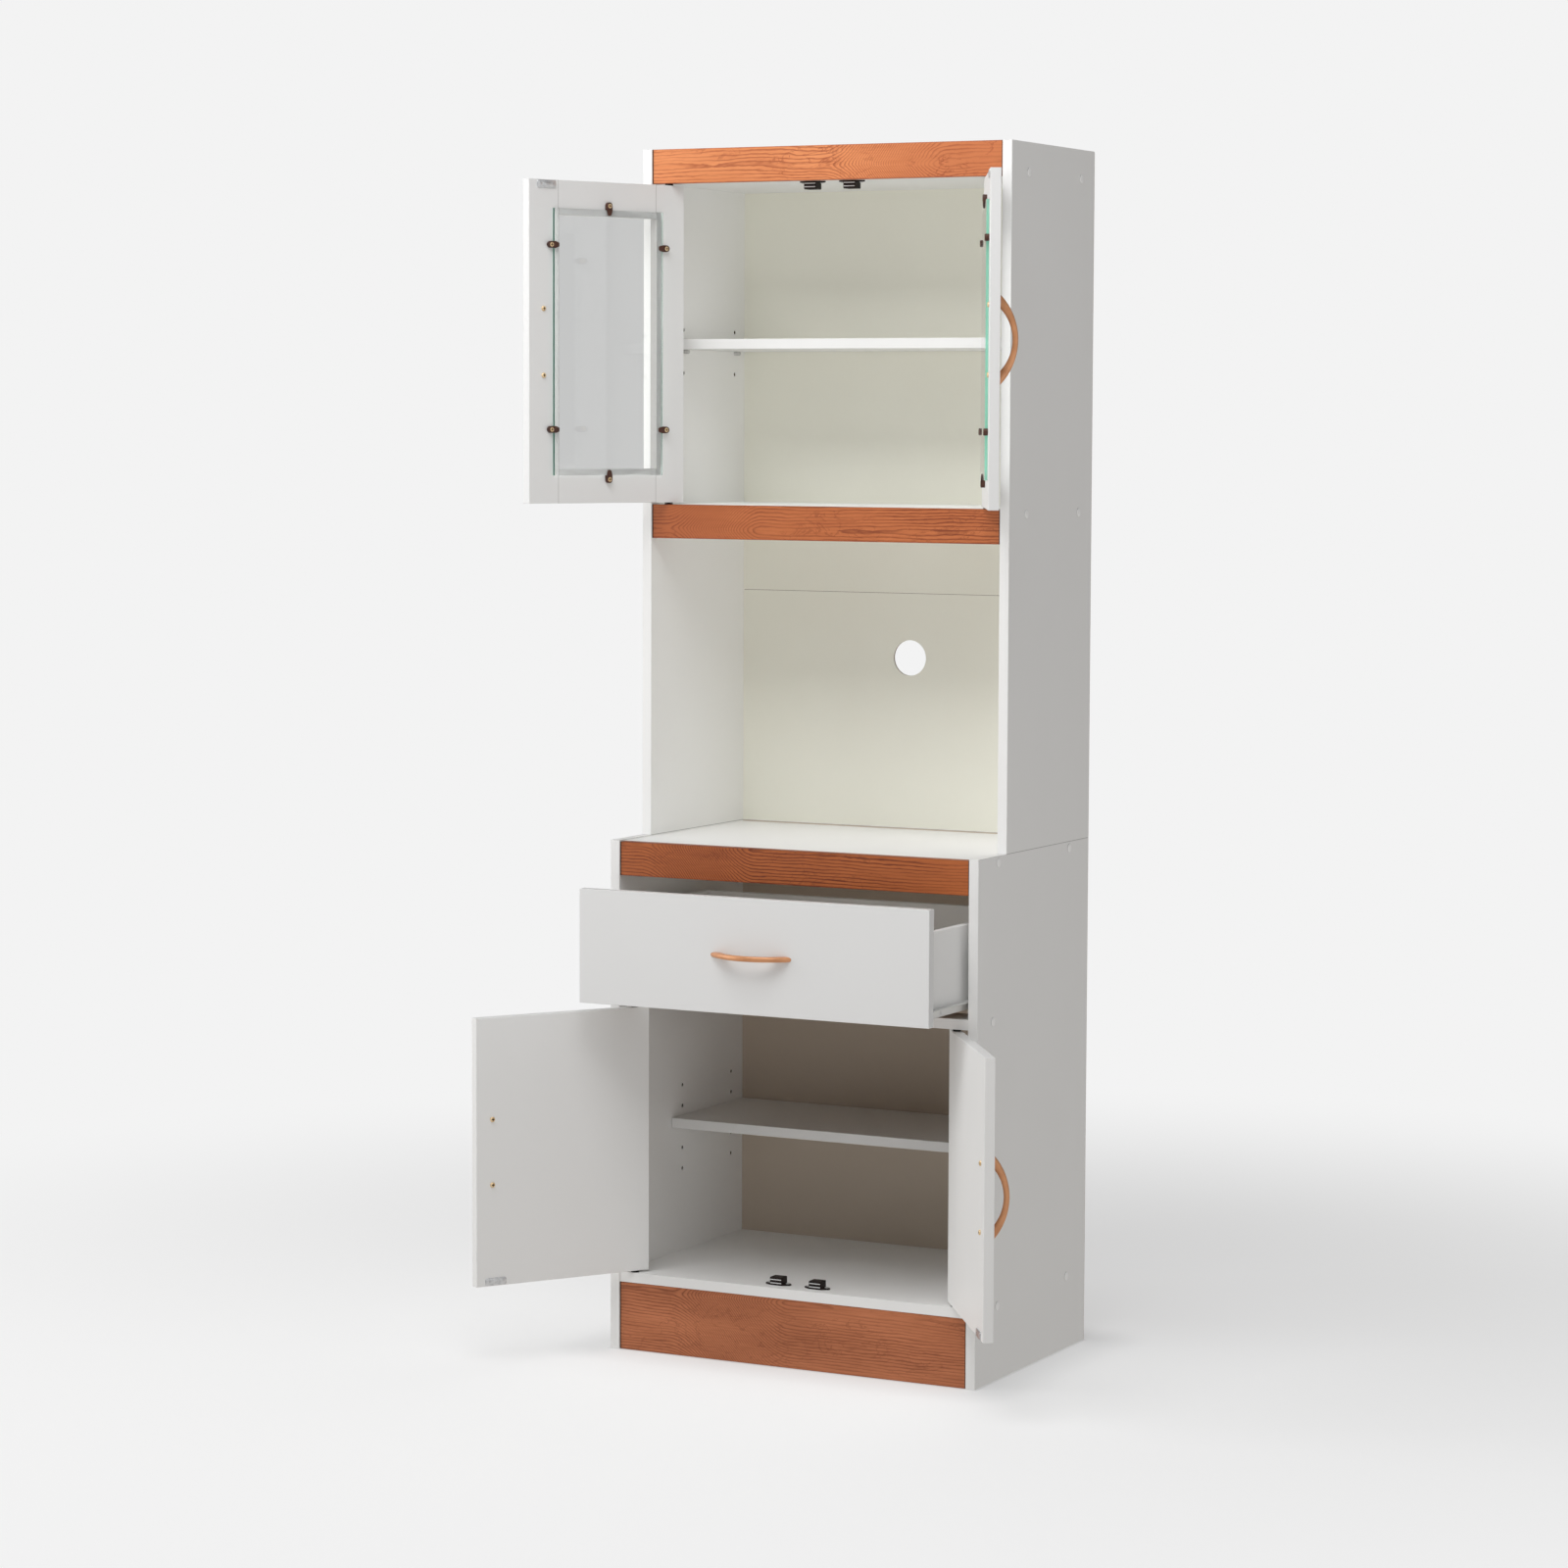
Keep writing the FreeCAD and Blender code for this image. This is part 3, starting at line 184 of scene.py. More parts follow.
class Finish(Wiring):
    """A material whose colour, gloss and relief are worked out in nodes."""

    def __init__(self, name, **uniform):
        self.material = bpy.data.materials.new(name)
        super().__init__(self.material, "ShaderNodeOutputMaterial")
        self.shader = self.tree.nodes.new("ShaderNodeBsdfPrincipled")
        self.coat = Amount(self, self.shader.outputs[0])
        self.surface(self.coat)
        for socket, value in uniform.items():
            self.set(socket.replace("_", " "), value)

    def set(self, socket, value):
        self.feed(self.shader.inputs[socket], value)

    def spot(self):
        """Position on the piece, in metres."""
        return self.node("ShaderNodeTexCoord", output="Object")

    def place(self, stretch=(1, 1, 1), shift=(0, 0, 0)):
        """Position on the piece, stretched and shifted."""
        inputs = {"Vector": self.spot(), "Scale": stretch, "Location": shift}
        return self.node("ShaderNodeMapping", None, inputs)

    def along(self, axis):
        """How far along the piece's own X, Y or Z, in metres."""
        return self.node("ShaderNodeSeparateXYZ", None, {0: self.spot()}, output=axis)

    def dot(self, vector, direction):
        settings = {"operation": "DOT_PRODUCT"}
        return self.node("ShaderNodeVectorMath", settings, {0: vector, 1: direction}, output="Value")

    def facing(self, direction):
        """1 where the surface faces the direction, 0 beside it, -1 away from it."""
        return self.dot(self.node("ShaderNodeTexCoord", output="Normal"), direction)

    def clouds(self, size, detail=3.0, rough=0.5, stretch=(1, 1, 1), shift=(0, 0, 0), warp=0.0):
        """Soft noise from 0 to 1, whose spots are about size metres across."""
        return self.node("ShaderNodeTexNoise", None, {
            "Vector": self.place(stretch, shift), "Scale": 1 / size,
            "Detail": detail, "Roughness": rough, "Distortion": warp})

    def mixed(self, share, first, second):
        settings = {"data_type": "RGBA", "clamp_factor": True}
        return self.node("ShaderNodeMix", settings, {0: share, 6: first, 7: second}, output=2)

    def ramp(self, value, stops):
        return self.node("ShaderNodeValToRGB", {"stops": stops}, {0: value}, output="Color")

    def colour(self, value):
        self.set("Base Color", value)

    def gloss(self, value):
        self.set("Roughness", value)

    def glow(self, colour, strength):
        self.set("Emission Color", colour)
        self.set("Emission Strength", strength)

    def relief(self, height, depth, strength):
        """Bumps from the height, depth metres high."""
        inputs = {"Height": height, "Distance": depth, "Strength": strength}
        self.set("Normal", self.node("ShaderNodeBump", None, inputs, output="Normal"))


def bare_melamine(name, tone, shade):
    """Finish, colour and pearl of white melamine, which has faint clouds in its tone."""
    finish = Finish(name, Specular_IOR_Level=0.40, Coat_Weight=0.05, Coat_Roughness=0.25)
    pearl = finish.clouds(0.0011, 3, 0.6)
    white = finish.mixed(finish.clouds(0.19, 4).between(0.35, 0.7) * 0.5, tone, shade)
    finish.gloss(0.40 + pearl * 0.10 + finish.clouds(0.07, 2) * 0.08)
    return finish, white, pearl


def white_melamine(name, part=None, seam=None, tones=(WHITE, WHITE_SHADE)):
    """Chipboard faced in white melamine.

    With a part named, the joint of its edge band shows as a hairline and its bores show bare
    chipboard, painted dark for the shade deep in the holes. seam is the height at which a dark
    joint shows on the part's upright faces."""
    finish, white, pearl = bare_melamine(name, *tones)
    if part:
        low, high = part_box(part)
        facing, core = 0.0011, 0.0014
        inside = 1
        for axis, near, far in zip("XYZ", low, high):
            depth = finish.along(axis)
            under = depth.between(near + facing, near + core)
            inside = under * (1 - depth.between(far - core, far - facing)) * inside
        depth = finish.along("Y")
        band = depth.between(low.y + 0.0007, low.y + 0.0009)
        band = band * (1 - depth.between(low.y + 0.0011, low.y + 0.0013))
        white = finish.mixed(band * 0.3, white, (0.42, 0.40, 0.36))
        # bare chipboard in the bores, its tones darkened as painted shade for the depth of the holes
        bare_core_in_shade = finish.ramp(finish.clouds(0.0016, 4, 0.7, (1, 1, 0.6)), [
            (0.32, (0.03, 0.018, 0.01)), (0.5, (0.09, 0.056, 0.032)), (0.7, (0.19, 0.13, 0.075))])
        white = finish.mixed(inside, white, bare_core_in_shade)
        if seam is not None:
            joint = 1 - abs(finish.along("Z") - seam).between(0.0003, 0.0007)
            upright = 1 - abs(finish.facing(Z))
            white = finish.mixed(joint * upright * 0.55, white, (0.16, 0.15, 0.14))
    finish.colour(white)
    finish.relief(pearl + finish.clouds(0.006, 2) * 0.6, 0.00004, 0.5)
    return finish.material


def framed_melamine(name, side, angle):
    """White melamine of a glazed door's frame, toned darker as painted shade, with the hairline where a
    rail meets a stile.
    """
    finish, white, pearl = bare_melamine(name, DIMMED_DOOR_WHITE, DIMMED_DOOR_SHADE)
    door = hung(side, angle, UPPER_PIVOT, HUTCH_FACE + BOARD / 2)
    along = door.to_3x3() @ X
    reach = finish.dot(finish.spot(), along)
    joints = 0
    for joint in (OPENING_LEFT, OPENING_RIGHT):
        at = (door @ Vector((joint, 0, 0))).dot(along) * MM
        joints = (1 - abs(reach - at).between(0.00018, 0.00055)) + joints
    finish.colour(finish.mixed(joints * 0.62, white, (0.20, 0.19, 0.175)))
    finish.relief(pearl - joints * 3.0, 0.00004, 0.5)
    return finish.material


def cherry_foil(part, lighter, middle, darker, line, seed, heart, tips, depth, stir, deeper=None):
    """Printed cherry foil with growth lines that close in nested tips, short cracks and pores.

    heart is the height of the tips as a share of the board's, tips the stretch of X where they
    lie, depth how dark the lines are printed, stir how much they wander, and deeper the stretch
    of X over which the tone sinks as painted shade: the left door's shadow at the middle strip's
    left end, and a darker right end on the top strip."""
    finish = Finish("cherry_foil_" + part, Specular_IOR_Level=0.32, Coat_Weight=0.08, Coat_Roughness=0.3)
    low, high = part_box(part)
    height, length = finish.along("Z"), finish.along("X")
    slow = (finish.clouds(0.11, 2, 0.5, (0.30, 1, 1), (seed, 0, 0)) - 0.5) * (8.0 * stir)
    quick = (finish.clouds(0.014, 3, 0.6, (0.22, 1, 1), (seed, 0, 0)) - 0.5) * (1.2 + 0.8 * stir)
    drift = (finish.clouds(0.12, 2, 0.5, (0.4, 1, 1), (seed + 4.4, 0, 0)) - 0.5) * (0.035 * stir)
    off = height - (low.z + (high.z - low.z) * heart) + drift
    closing = length.between(*tips) * (tips[1] - tips[0]) * 170.0
    rings = ((off * off + 0.000012).root() * 215.0 - closing + slow + quick).fraction()
    fade = finish.clouds(0.04, 3, 0.6, (0.12, 1, 1), (seed + 1.7, 0, 0)).between(0.34, 0.60)
    ring = rings.between(0.45, 0.88) * (1 - rings.between(0.91, 1.0)) * (fade * 0.75 + 0.25)
    cloud = finish.clouds(0.06, 3, 0.55, (0.25, 1, 1), (seed + 3.1, 0, 0))
    streaks = finish.clouds(0.0024, 3, 0.6, (0.05, 1, 1), (seed, 0, 0))
    pores = finish.clouds(0.0009, 2, 0.5, (0.07, 1, 1), (seed, 0, 0)).between(0.62, 0.74)
    veins = finish.clouds(0.026, 4, 0.6, (0.42, 1, 1), (seed + 0.6, 0, 0), 0.8)
    where = finish.clouds(0.07, 2, 0.5, (0.5, 1, 1), (seed + 6.2, 0, 0)).between(0.47, 0.60)
    cracks = (1 - abs(veins - 0.5).between(0.005, 0.016)) * where * min(stir * 1.1, 1.0)
    wood = finish.ramp(cloud * 0.5 + streaks * 0.5, [(0.33, darker), (0.5, middle), (0.67, lighter)])
    # painted shade: over the stretch of X given, the tone sinks to the darker colour
    if deeper:
        wood = finish.mixed(length.between(*deeper), wood, darker)
    wood = finish.mixed(ring * depth, wood, line)
    wood = finish.mixed(cracks * depth + pores * 0.25, wood, line)
    # painted shade: a near-black line across each end of the strip, for the shade in the gap where it
    # meets a side board
    ends = abs(length).between(INNER_HALF * MM - 0.0022, INNER_HALF * MM - 0.0018)
    # painted shade: the strip's top and bottom edges darken towards the line colour
    shaded_rims = 1 - height.between(low.z + 0.0005, low.z + 0.0014)
    shaded_rims = shaded_rims + height.between(high.z - 0.0014, high.z - 0.0005)
    wood = finish.mixed(shaded_rims * 0.5, wood, line)
    finish.colour(finish.mixed(ends * 0.9, wood, (0.035, 0.022, 0.017)))
    finish.gloss(0.40 + streaks * 0.12 + pores * 0.1)
    finish.relief(streaks - pores * 0.7 - ring * 0.3, 0.00005, 0.5)
    return finish.material


def hardboard(name, tone, shade, white_side=-Y, across="Z"):
    """White-faced hardboard. Its other face shows brown fibre and the screen it was pressed on.

    across is the axis that spans the sheet with X."""
    finish = Finish(name, Specular_IOR_Level=0.35)
    rear = finish.facing(-white_side).between(0.4, 0.6)
    cut = (1 - finish.facing(white_side).between(0.4, 0.6)) * (1 - rear)
    white = finish.mixed(finish.clouds(0.15, 3).between(0.35, 0.7) * 0.5, tone, shade)
    fibre = finish.clouds(0.004, 5, 0.65)
    brown = finish.ramp(
        fibre * 0.7 + finish.clouds(0.1, 2) * 0.3,
        [(0.32, (0.13, 0.070, 0.036)), (0.52, (0.215, 0.125, 0.066)), (0.74, (0.30, 0.19, 0.11))])
    finish.colour(finish.mixed(rear + cut, white, brown))
    finish.gloss(0.46 + rear * 0.26 + fibre * 0.1)
    mesh = 2600.0
    screen = (finish.along("X") * mesh).wave() * (finish.along(across) * mesh).wave()
    finish.relief((screen * 0.5 + fibre) * (rear * 0.9 + 0.05), 0.00025, 0.7)
    return finish.material


def beech():
    """Turned beech with short flecks along the grain."""
    finish = Finish("beech_dowel", Specular_IOR_Level=0.3)
    flecks = finish.clouds(0.0012, 3, 0.6, (0.08, 1, 1))
    finish.colour(finish.ramp(flecks, [(0.3, (0.42, 0.27, 0.15)), (0.7, (0.62, 0.45, 0.29))]))
    finish.gloss(0.6 + flecks * 0.2)
    finish.relief(flecks, 0.0001, 0.5)
    return finish.material


def plastic(name, tone, shade, gloss, grain=0.0006, shine=0.5):
    """Moulded plastic with a fine spark-eroded grain."""
    finish = Finish(name, Specular_IOR_Level=shine)
    specks = finish.clouds(grain, 2, 0.5)
    finish.colour(finish.mixed(finish.clouds(0.012, 3).between(0.35, 0.65), tone, shade))
    finish.gloss(gloss + specks * 0.14)
    finish.relief(specks, 0.00004, 0.5)
    return finish.material


def cap_plastic():
    """Moulded cover cap: brighter than the board, partly as a painted highlight of the light its dome
    catches, with a painted shade line where its rim meets the board.
    """
    finish = Finish("cap_plastic", Specular_IOR_Level=0.5)
    # painted shade: the cap's sides, which face across the board, darken to a line round the rim
    rim = 1 - abs(finish.facing(X)).between(0.25, 0.93)
    specks = finish.clouds(0.0006, 2, 0.5)
    finish.colour(finish.mixed(rim * 0.8, (0.98, 0.98, 0.98), (0.30, 0.30, 0.30)))
    finish.gloss(0.24 + specks * 0.14)
    finish.relief(specks, 0.00004, 0.5)
    return finish.material


def metal(name, tone, shade, gloss, brushed=(1, 1, 1), metallic=1.0):
    """Plated or bare metal with cloudy tarnish and fine scratches."""
    finish = Finish(name, Metallic=metallic)
    scratches = finish.clouds(0.0009, 4, 0.7, brushed)
    tarnish = finish.clouds(0.006, 4, 0.6)
    finish.colour(finish.mixed(tarnish.between(0.35, 0.72), tone, shade))
    finish.gloss(gloss + scratches * 0.14 + tarnish * 0.08)
    finish.relief(scratches, 0.00002, 0.5)
    return finish.material


def white_steel():
    """Powder-coated runner steel: orange peel and small rub marks along the roller's path."""
    finish = Finish("white_steel", Specular_IOR_Level=0.5)
    peel = finish.clouds(0.0022, 2, 0.5)
    rubs = finish.clouds(0.003, 3, 0.6, (1, 0.04, 1)).between(0.62, 0.78)
    finish.colour(finish.mixed(rubs * 0.5, (0.72, 0.72, 0.70), (0.45, 0.45, 0.44)))
    finish.gloss(0.34 + rubs * 0.2 + peel * 0.08)
    finish.relief(peel, 0.00006, 0.6)
    return finish.material


def pane_glass(name, outward, free):
    """Clear float glass. Its ground edges are pale, and deep green on the side that faces free."""
    finish = Finish(name, Transmission_Weight=1.0, IOR=1.5, Specular_IOR_Level=0.5)
    rim = 1 - abs(finish.facing(outward)).between(0.4, 0.6)
    smear = finish.clouds(0.03, 3, 0.6).between(0.4, 0.75)
    deep = finish.facing(free).between(0.4, 0.6)
    clear_tone = (0.985, 0.993, 0.988)
    tint = finish.mixed(rim, clear_tone, (0.84, 0.93, 0.90))
    finish.colour(finish.mixed(deep, tint, (0.36, 0.80, 0.66)))
    finish.gloss(smear * 0.006 + rim * 0.12 + deep * 0.23)
    # painted light: the deep green edge on the free side glows faintly, though it is no lamp
    finish.glow(finish.mixed(deep, (0, 0, 0), (0.020, 0.090, 0.060)), 1.0)
    # the lamps' light passes straight through
    shadow = finish.node("ShaderNodeLightPath", output="Is Shadow Ray")
    clear = finish.node("ShaderNodeBsdfTransparent", None, {"Color": clear_tone})
    finish.surface(finish.shared(shadow, finish.coat, clear))
    return finish.material


def copper_handle():
    """Copper-coloured die-cast bow, satin lacquered, its tone in soft clouds."""
    finish = Finish(
        "copper_handle", Metallic=0.35, Specular_IOR_Level=0.5, Coat_Weight=0.3, Coat_Roughness=0.2)
    flow = finish.clouds(0.02, 3, 0.5)
    mist = finish.clouds(0.0007, 2, 0.5)
    clouds = flow.between(0.35, 0.7)
    finish.colour(finish.mixed(clouds, (0.68, 0.315, 0.145), (0.58, 0.255, 0.110)))
    finish.gloss(0.33 + mist * 0.1 + flow * 0.06)
    finish.relief(mist, 0.00003, 0.4)
    return finish.material


sawn_edge = plastic("sawn_hardboard_edge", (0.20, 0.13, 0.08), (0.13, 0.08, 0.05), 0.8, 0.0012)
brown_plastic = plastic(
    "brown_plastic", (0.012, 0.008, 0.007), (0.018, 0.011, 0.009), 0.46, shine=0.22)
clip_plastic = plastic(
    "brown_clip_plastic", (0.050, 0.018, 0.012), (0.075, 0.027, 0.016), 0.34, shine=0.35)
white_plastic = plastic("white_plastic", (0.93, 0.93, 0.92), (0.90, 0.90, 0.89), 0.26)
# painted shade: the screws' cross recesses take this near-black colour for the shade in them
painted_recess_shade = plastic("painted_recess_shade", (0.014, 0.010, 0.008), (0.020, 0.015, 0.011), 0.7, shine=0.15)
zinc_steel = metal("zinc_steel", (0.70, 0.70, 0.69), (0.52, 0.52, 0.52), 0.30, (1, 1, 1), 0.8)
strike_steel = metal("strike_steel", (0.68, 0.69, 0.70), (0.50, 0.51, 0.53), 0.26, (0.1, 1, 1), 0.85)
pole_steel = metal("pole_steel", (0.88, 0.88, 0.88), (0.74, 0.75, 0.76), 0.34, (0.1, 1, 1), 0.5)
brass = metal("brass_screws", (0.86, 0.66, 0.40), (0.66, 0.46, 0.24), 0.34, (1, 1, 1), 0.35)
copper = copper_handle()
steel_white = white_steel()
back_board = hardboard("white_hardboard", (0.900, 0.895, 0.800), (0.880, 0.872, 0.775))
# painted shade: the lower cupboard's back sheet is toned darker and browner than the other back sheets,
# which paints the shade inside the lower cupboard
lower_back_in_shade = hardboard("lower_back_hardboard_in_shade", (0.63, 0.54, 0.45), (0.61, 0.52, 0.43))
drawer_board = hardboard("drawer_hardboard", (0.880, 0.870, 0.820), (0.860, 0.848, 0.795), Z, "Y")
dowel_wood = beech()


# ------------------------------------------------------------------ pieces, drawn in mm
def laid(origin, along, outward):
    """Matrix that puts local X along one direction and local Z outward."""
    across = outward.cross(along)
    turn = Matrix((along, across, outward)).transposed().to_4x4()
    return Matrix.Translation(origin) @ turn


def circle(radius, height, sides):
    """A ring of points about local Z."""
    angles = [math.tau * i / sides for i in range(sides)]
    return [(radius * math.cos(angle), radius * math.sin(angle), height) for angle in angles]


class Shape:
    """A mesh that is put together from rings of points, in mm."""

    def __init__(self):
        self.mesh = bmesh.new()
        self.coat = 0

    def skin(self, rings, matrix=Matrix.Identity(4)):
        """Joins rings of equal counts with walls and closes both ends."""
        made = [[self.mesh.verts.new(matrix @ Vector(point)) for point in ring] for ring in rings]
        for one, two in zip(made, made[1:]):
            for i in range(len(one)):
                j = (i + 1) % len(one)
                self.mesh.faces.new((one[i], one[j], two[j], two[i])).material_index = self.coat
        self.mesh.faces.new(list(reversed(made[0]))).material_index = self.coat
        self.mesh.faces.new(made[-1]).material_index = self.coat

    def turned(self, profile, matrix, sides=32):
        """A profile of (radius, height) points turned about local Z; a radius of 0 closes an end."""
        self.skin([circle(max(radius, 0.02), height, sides) for radius, height in profile], matrix)

    def recessed_screw(self, stem, head, cross, depth, matrix, sides=48):
        """A screw whose head ends in a cross recess.

        stem and head are (radius, height) points up to the top, cross the length and half the
        width of the recess's arms."""
        rings = [circle(radius, height, sides) for radius, height in stem + head]
        top = head[-1][1]
        arm, half = cross

        def recess(angle):
            turn = (angle + math.pi / 4) % (math.pi / 2) - math.pi / 4
            if abs(math.tan(turn)) < half / arm:
                return arm / math.cos(turn)
            return half / abs(math.sin(turn))

        angles = [math.tau * i / sides for i in range(sides)]
        for share, drop in ((1.0, 0.0), (0.86, depth * 0.55), (0.45, depth)):
            rings.append([
                (recess(a) * share * math.cos(a), recess(a) * share * math.sin(a), top - drop)
                for a in angles])
        self.skin(rings, matrix)
        self.mesh.faces.ensure_lookup_table()
        # the recess's walls and floor take the second material, painted near black for the shade in the
        # recess
        walls, floor = self.mesh.faces[-2 - 2 * sides:-2], self.mesh.faces[-1]
        for face in [*walls, floor]:
            face.material_index = 1

    def finish(self, name, materials, body, slot, replaces=(), smooth=30.0):
        """Makes the piece; edges sharper than smooth degrees stay hard."""
        bmesh.ops.recalc_face_normals(self.mesh, faces=self.mesh.faces)
        self.mesh.transform(Matrix.Scale(MM, 4))
        data = bpy.data.meshes.new(name)
        self.mesh.to_mesh(data)
        self.mesh.free()
        data.polygons.foreach_set("use_smooth", [True] * len(data.polygons))
        data.set_sharp_from_angle(angle=math.radians(smooth))
        for coat in materials:
            data.materials.append(coat)
        piece = bpy.data.objects.new(name, data)
        scene.collection.objects.link(piece)
        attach(piece, body)
        if replaces:
            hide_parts(*replaces)


def rounded(half_x, half_y, corner, steps=5):
    """Outline of a rounded rectangle, counter-clockwise."""
    points = []
    for quarter, (sx, sy) in enumerate(((1, 1), (-1, 1), (-1, -1), (1, -1))):
        for step in range(steps + 1):
            angle = math.pi / 2 * (quarter + step / steps)
            x = sx * (half_x - corner) + corner * math.cos(angle)
            y = sy * (half_y - corner) + corner * math.sin(angle)
            points.append((x, y))
    return points


def slab(shape, outline, low, high, ease, matrix, steps=3):
    """An outline drawn up from low to high, its top edge rounded by ease."""
    def inset(amount):
        points = []
        for i, (x, y) in enumerate(outline):
            x0, y0 = outline[i - 1]
            x1, y1 = outline[(i + 1) % len(outline)]
            run = Vector((x1 - x0, y1 - y0)).normalized()
            points.append((x - run.y * amount, y + run.x * amount))
        return points

    rings = [[(x, y, low) for x, y in outline]]
    for step in range(steps + 1):
        angle = math.pi / 2 * step / steps
        level = high - ease + ease * math.sin(angle)
        rings.append([(x, y, level) for x, y in inset(ease * (1 - math.cos(angle)))])
    shape.skin(rings, matrix)


def bow(shape, half, reach, clear_half, clear_reach, width, matrix, steps=56, sides=28):
    """A bow handle between two arcs, fuller at its feet and rounded in section.

    half and reach are half the span and the height of the outer arc, the clear ones those of the
    inner arc."""
    power = 2 / 2.6  # between an ellipse and a rectangle

    def arc(half_chord, rise, share):
        radius = (half_chord ** 2 + rise ** 2) / (2 * rise)
        spread = math.asin(min(1.0, half_chord / radius))
        if rise > half_chord:
            spread = math.pi - spread
        angle = spread * share
        return Vector((radius * math.sin(angle), 0, radius * math.cos(angle) - radius + rise))

    rings = []
    for step in range(steps + 1):
        share = -1 + 2 * step / steps
        outer = arc(half, reach, share)
        inner = arc(clear_half, clear_reach, share)
        centre = (outer + inner) / 2
        thick = (outer - inner) / 2
        ring = []
        for side in range(sides):
            angle = math.tau * side / sides
            c, s = math.cos(angle), math.sin(angle)
            deep = math.copysign(abs(c) ** power, c)
            wide = math.copysign(abs(s) ** power, s)
            point = centre + thick * deep + Vector((0, width / 2 * wide, 0))
            ring.append((point.x, point.y, max(point.z, 0.0)))
        rings.append(ring)
    shape.skin(rings, matrix)


def turn_clip(shape, matrix):
    """Turn button: a round tail with a collar for the screw and a tapered nose over the pane."""
    # sections along local X: place, half width, underside and top
    tail, turns = -5.4, 8
    sections = [(tail + 0.1, 0.9, 0.0, 5.2)]
    for step in range(1, turns + 1):
        angle = math.pi / 2 * step / turns
        sections.append((tail * math.cos(angle), 0.6 + 4.3 * math.sin(angle), 0.0, 5.9))
    sections += [
        (3.0, 4.95, 0.0, 6.0), (5.88, 4.95, 0.0, 6.0), (5.9, 4.95, 4.12, 6.0),
        (7.5, 4.85, 4.12, 5.95), (10.5, 4.0, 4.12, 5.75), (12.8, 3.2, 4.12, 5.45),
        (13.7, 2.5, 4.2, 5.2), (14.0, 1.4, 4.4, 4.9)]
    rings = []
    for x, half, low, high in sections:
        ease = min(0.9, (high - low) / 2.2, half * 0.6)
        section = rounded(half, (high - low) / 2, ease, 4)
        rings.append([(x, y, z + (high + low) / 2) for y, z in section])
    shape.skin(rings, matrix)
    collar = [(4.35, 5.4), (4.35, 6.1), (4.2, 6.35), (3.75, 6.4), (3.45, 6.1), (3.4, 5.5)]
    shape.turned(collar, matrix, 36)


def clip_screw(shape, matrix):
    """A countersunk screw in the collar of a turn clip."""
    shape.recessed_screw(
        [(0.2, -10.0), (1.6, -8.0), (1.6, 4.3)],
        [(3.3, 5.9), (3.15, 6.15), (2.8, 6.35)], (2.0, 0.62), 1.5, matrix)


def handle_screw(shape, matrix):
    """A pan-head screw into a handle's foot; its head lies on the door's far side."""
    flip = matrix @ Matrix.Rotation(math.pi, 4, "X")
    shape.recessed_screw(
        [(1.95, -8.0), (1.95, 14.8)],
        [(3.75, 15.0), (3.75, 15.9), (3.5, 16.7), (2.9, 17.2), (2.5, 17.4)], (2.1, 0.62), 1.6, flip)


def strike_screw(shape, matrix):
    """A small countersunk screw in a strike plate."""
    shape.recessed_screw(
        [(0.2, -8.5), (1.4, -6.5), (1.4, 0.35)],
        [(2.6, 1.45), (2.4, 1.55), (2.0, 1.62)], (1.4, 0.3), 0.9, matrix)


def strike_plate(shape, matrix):
    """A thin steel plate, its rim turned down and a shallow bar pressed along its middle."""
    slab(shape, rounded(16.5, 5.5, 2.6, 6), 0.0, 1.5, 0.5, matrix, 3)
    slab(shape, rounded(6.2, 2.6, 2.2, 6), 1.4, 1.7, 0.2, matrix, 3)


def pressed_rim(shape, matrix, radius, height):
    """The low ring that a press leaves round a screw hole."""
    shape.turned([
        (radius + 0.9, height - 0.1), (radius + 0.7, height + 0.12), (radius + 0.25, height + 0.16),
        (radius + 0.05, height - 0.1)], matrix, 32)


def catch_housing(shape, matrix):
    """Magnetic catch: a boat-shaped flange under a block whose front holds the two pole plates."""
    front, rear, middle = 0.8, 18.0, 9.4
    boat = [
        (-20.3, middle - 1.6), (-19.4, middle - 3.2), (-10.4, front + 0.3), (-9.6, front),
        (9.6, front), (10.4, front + 0.3), (19.4, middle - 3.2), (20.3, middle - 1.6),
        (20.5, middle), (20.3, middle + 1.6), (19.4, middle + 3.2), (10.4, rear - 0.3),
        (9.6, rear), (-9.6, rear), (-10.4, rear - 0.3), (-19.4, middle + 3.2),
        (-20.3, middle + 1.6), (-20.5, middle)]
    slab(shape, boat, 0.0, 2.0, 0.45, matrix, 3)
    body = [(x, y + middle) for x, y in rounded(9.95, 8.55, 0.9, 4)]
    slab(shape, body, 1.9, 12.0, 1.0, matrix, 4)
    # ribs on the front: the frame round the two slots
    for low, high in ((2.0, 2.55), (4.25, 7.55), (9.25, 11.2)):
        bar = [(x, y + front - 0.1) for x, y in rounded(9.6, 0.32, 0.28, 3)]
        slab(shape, bar, low, high, 0.2, matrix, 2)
    for x in (-9.3, 9.3):
        post = [(px + x, y + front - 0.1) for px, y in rounded(0.45, 0.32, 0.28, 3)]
        slab(shape, post, 2.0, 11.2, 0.2, matrix, 2)
    # raised seats round the screw holes
    for side in (-1, 1):
        seat = matrix @ Matrix.Translation((side * 15.0, middle, 0))
        shape.turned([(3.3, 1.6), (3.3, 2.15), (3.1, 2.25), (2.6, 2.25)], seat, 28)


def catch_plate(shape, level, matrix):
    """A steel pole plate, whose edge shows in a slot of the catch."""
    face = matrix @ laid(Vector((0, 0, level)), X, -Y)
    slab(shape, rounded(9.0, 0.6, 0.3, 3), -11.9, 0.0, 0.2, face, 2)


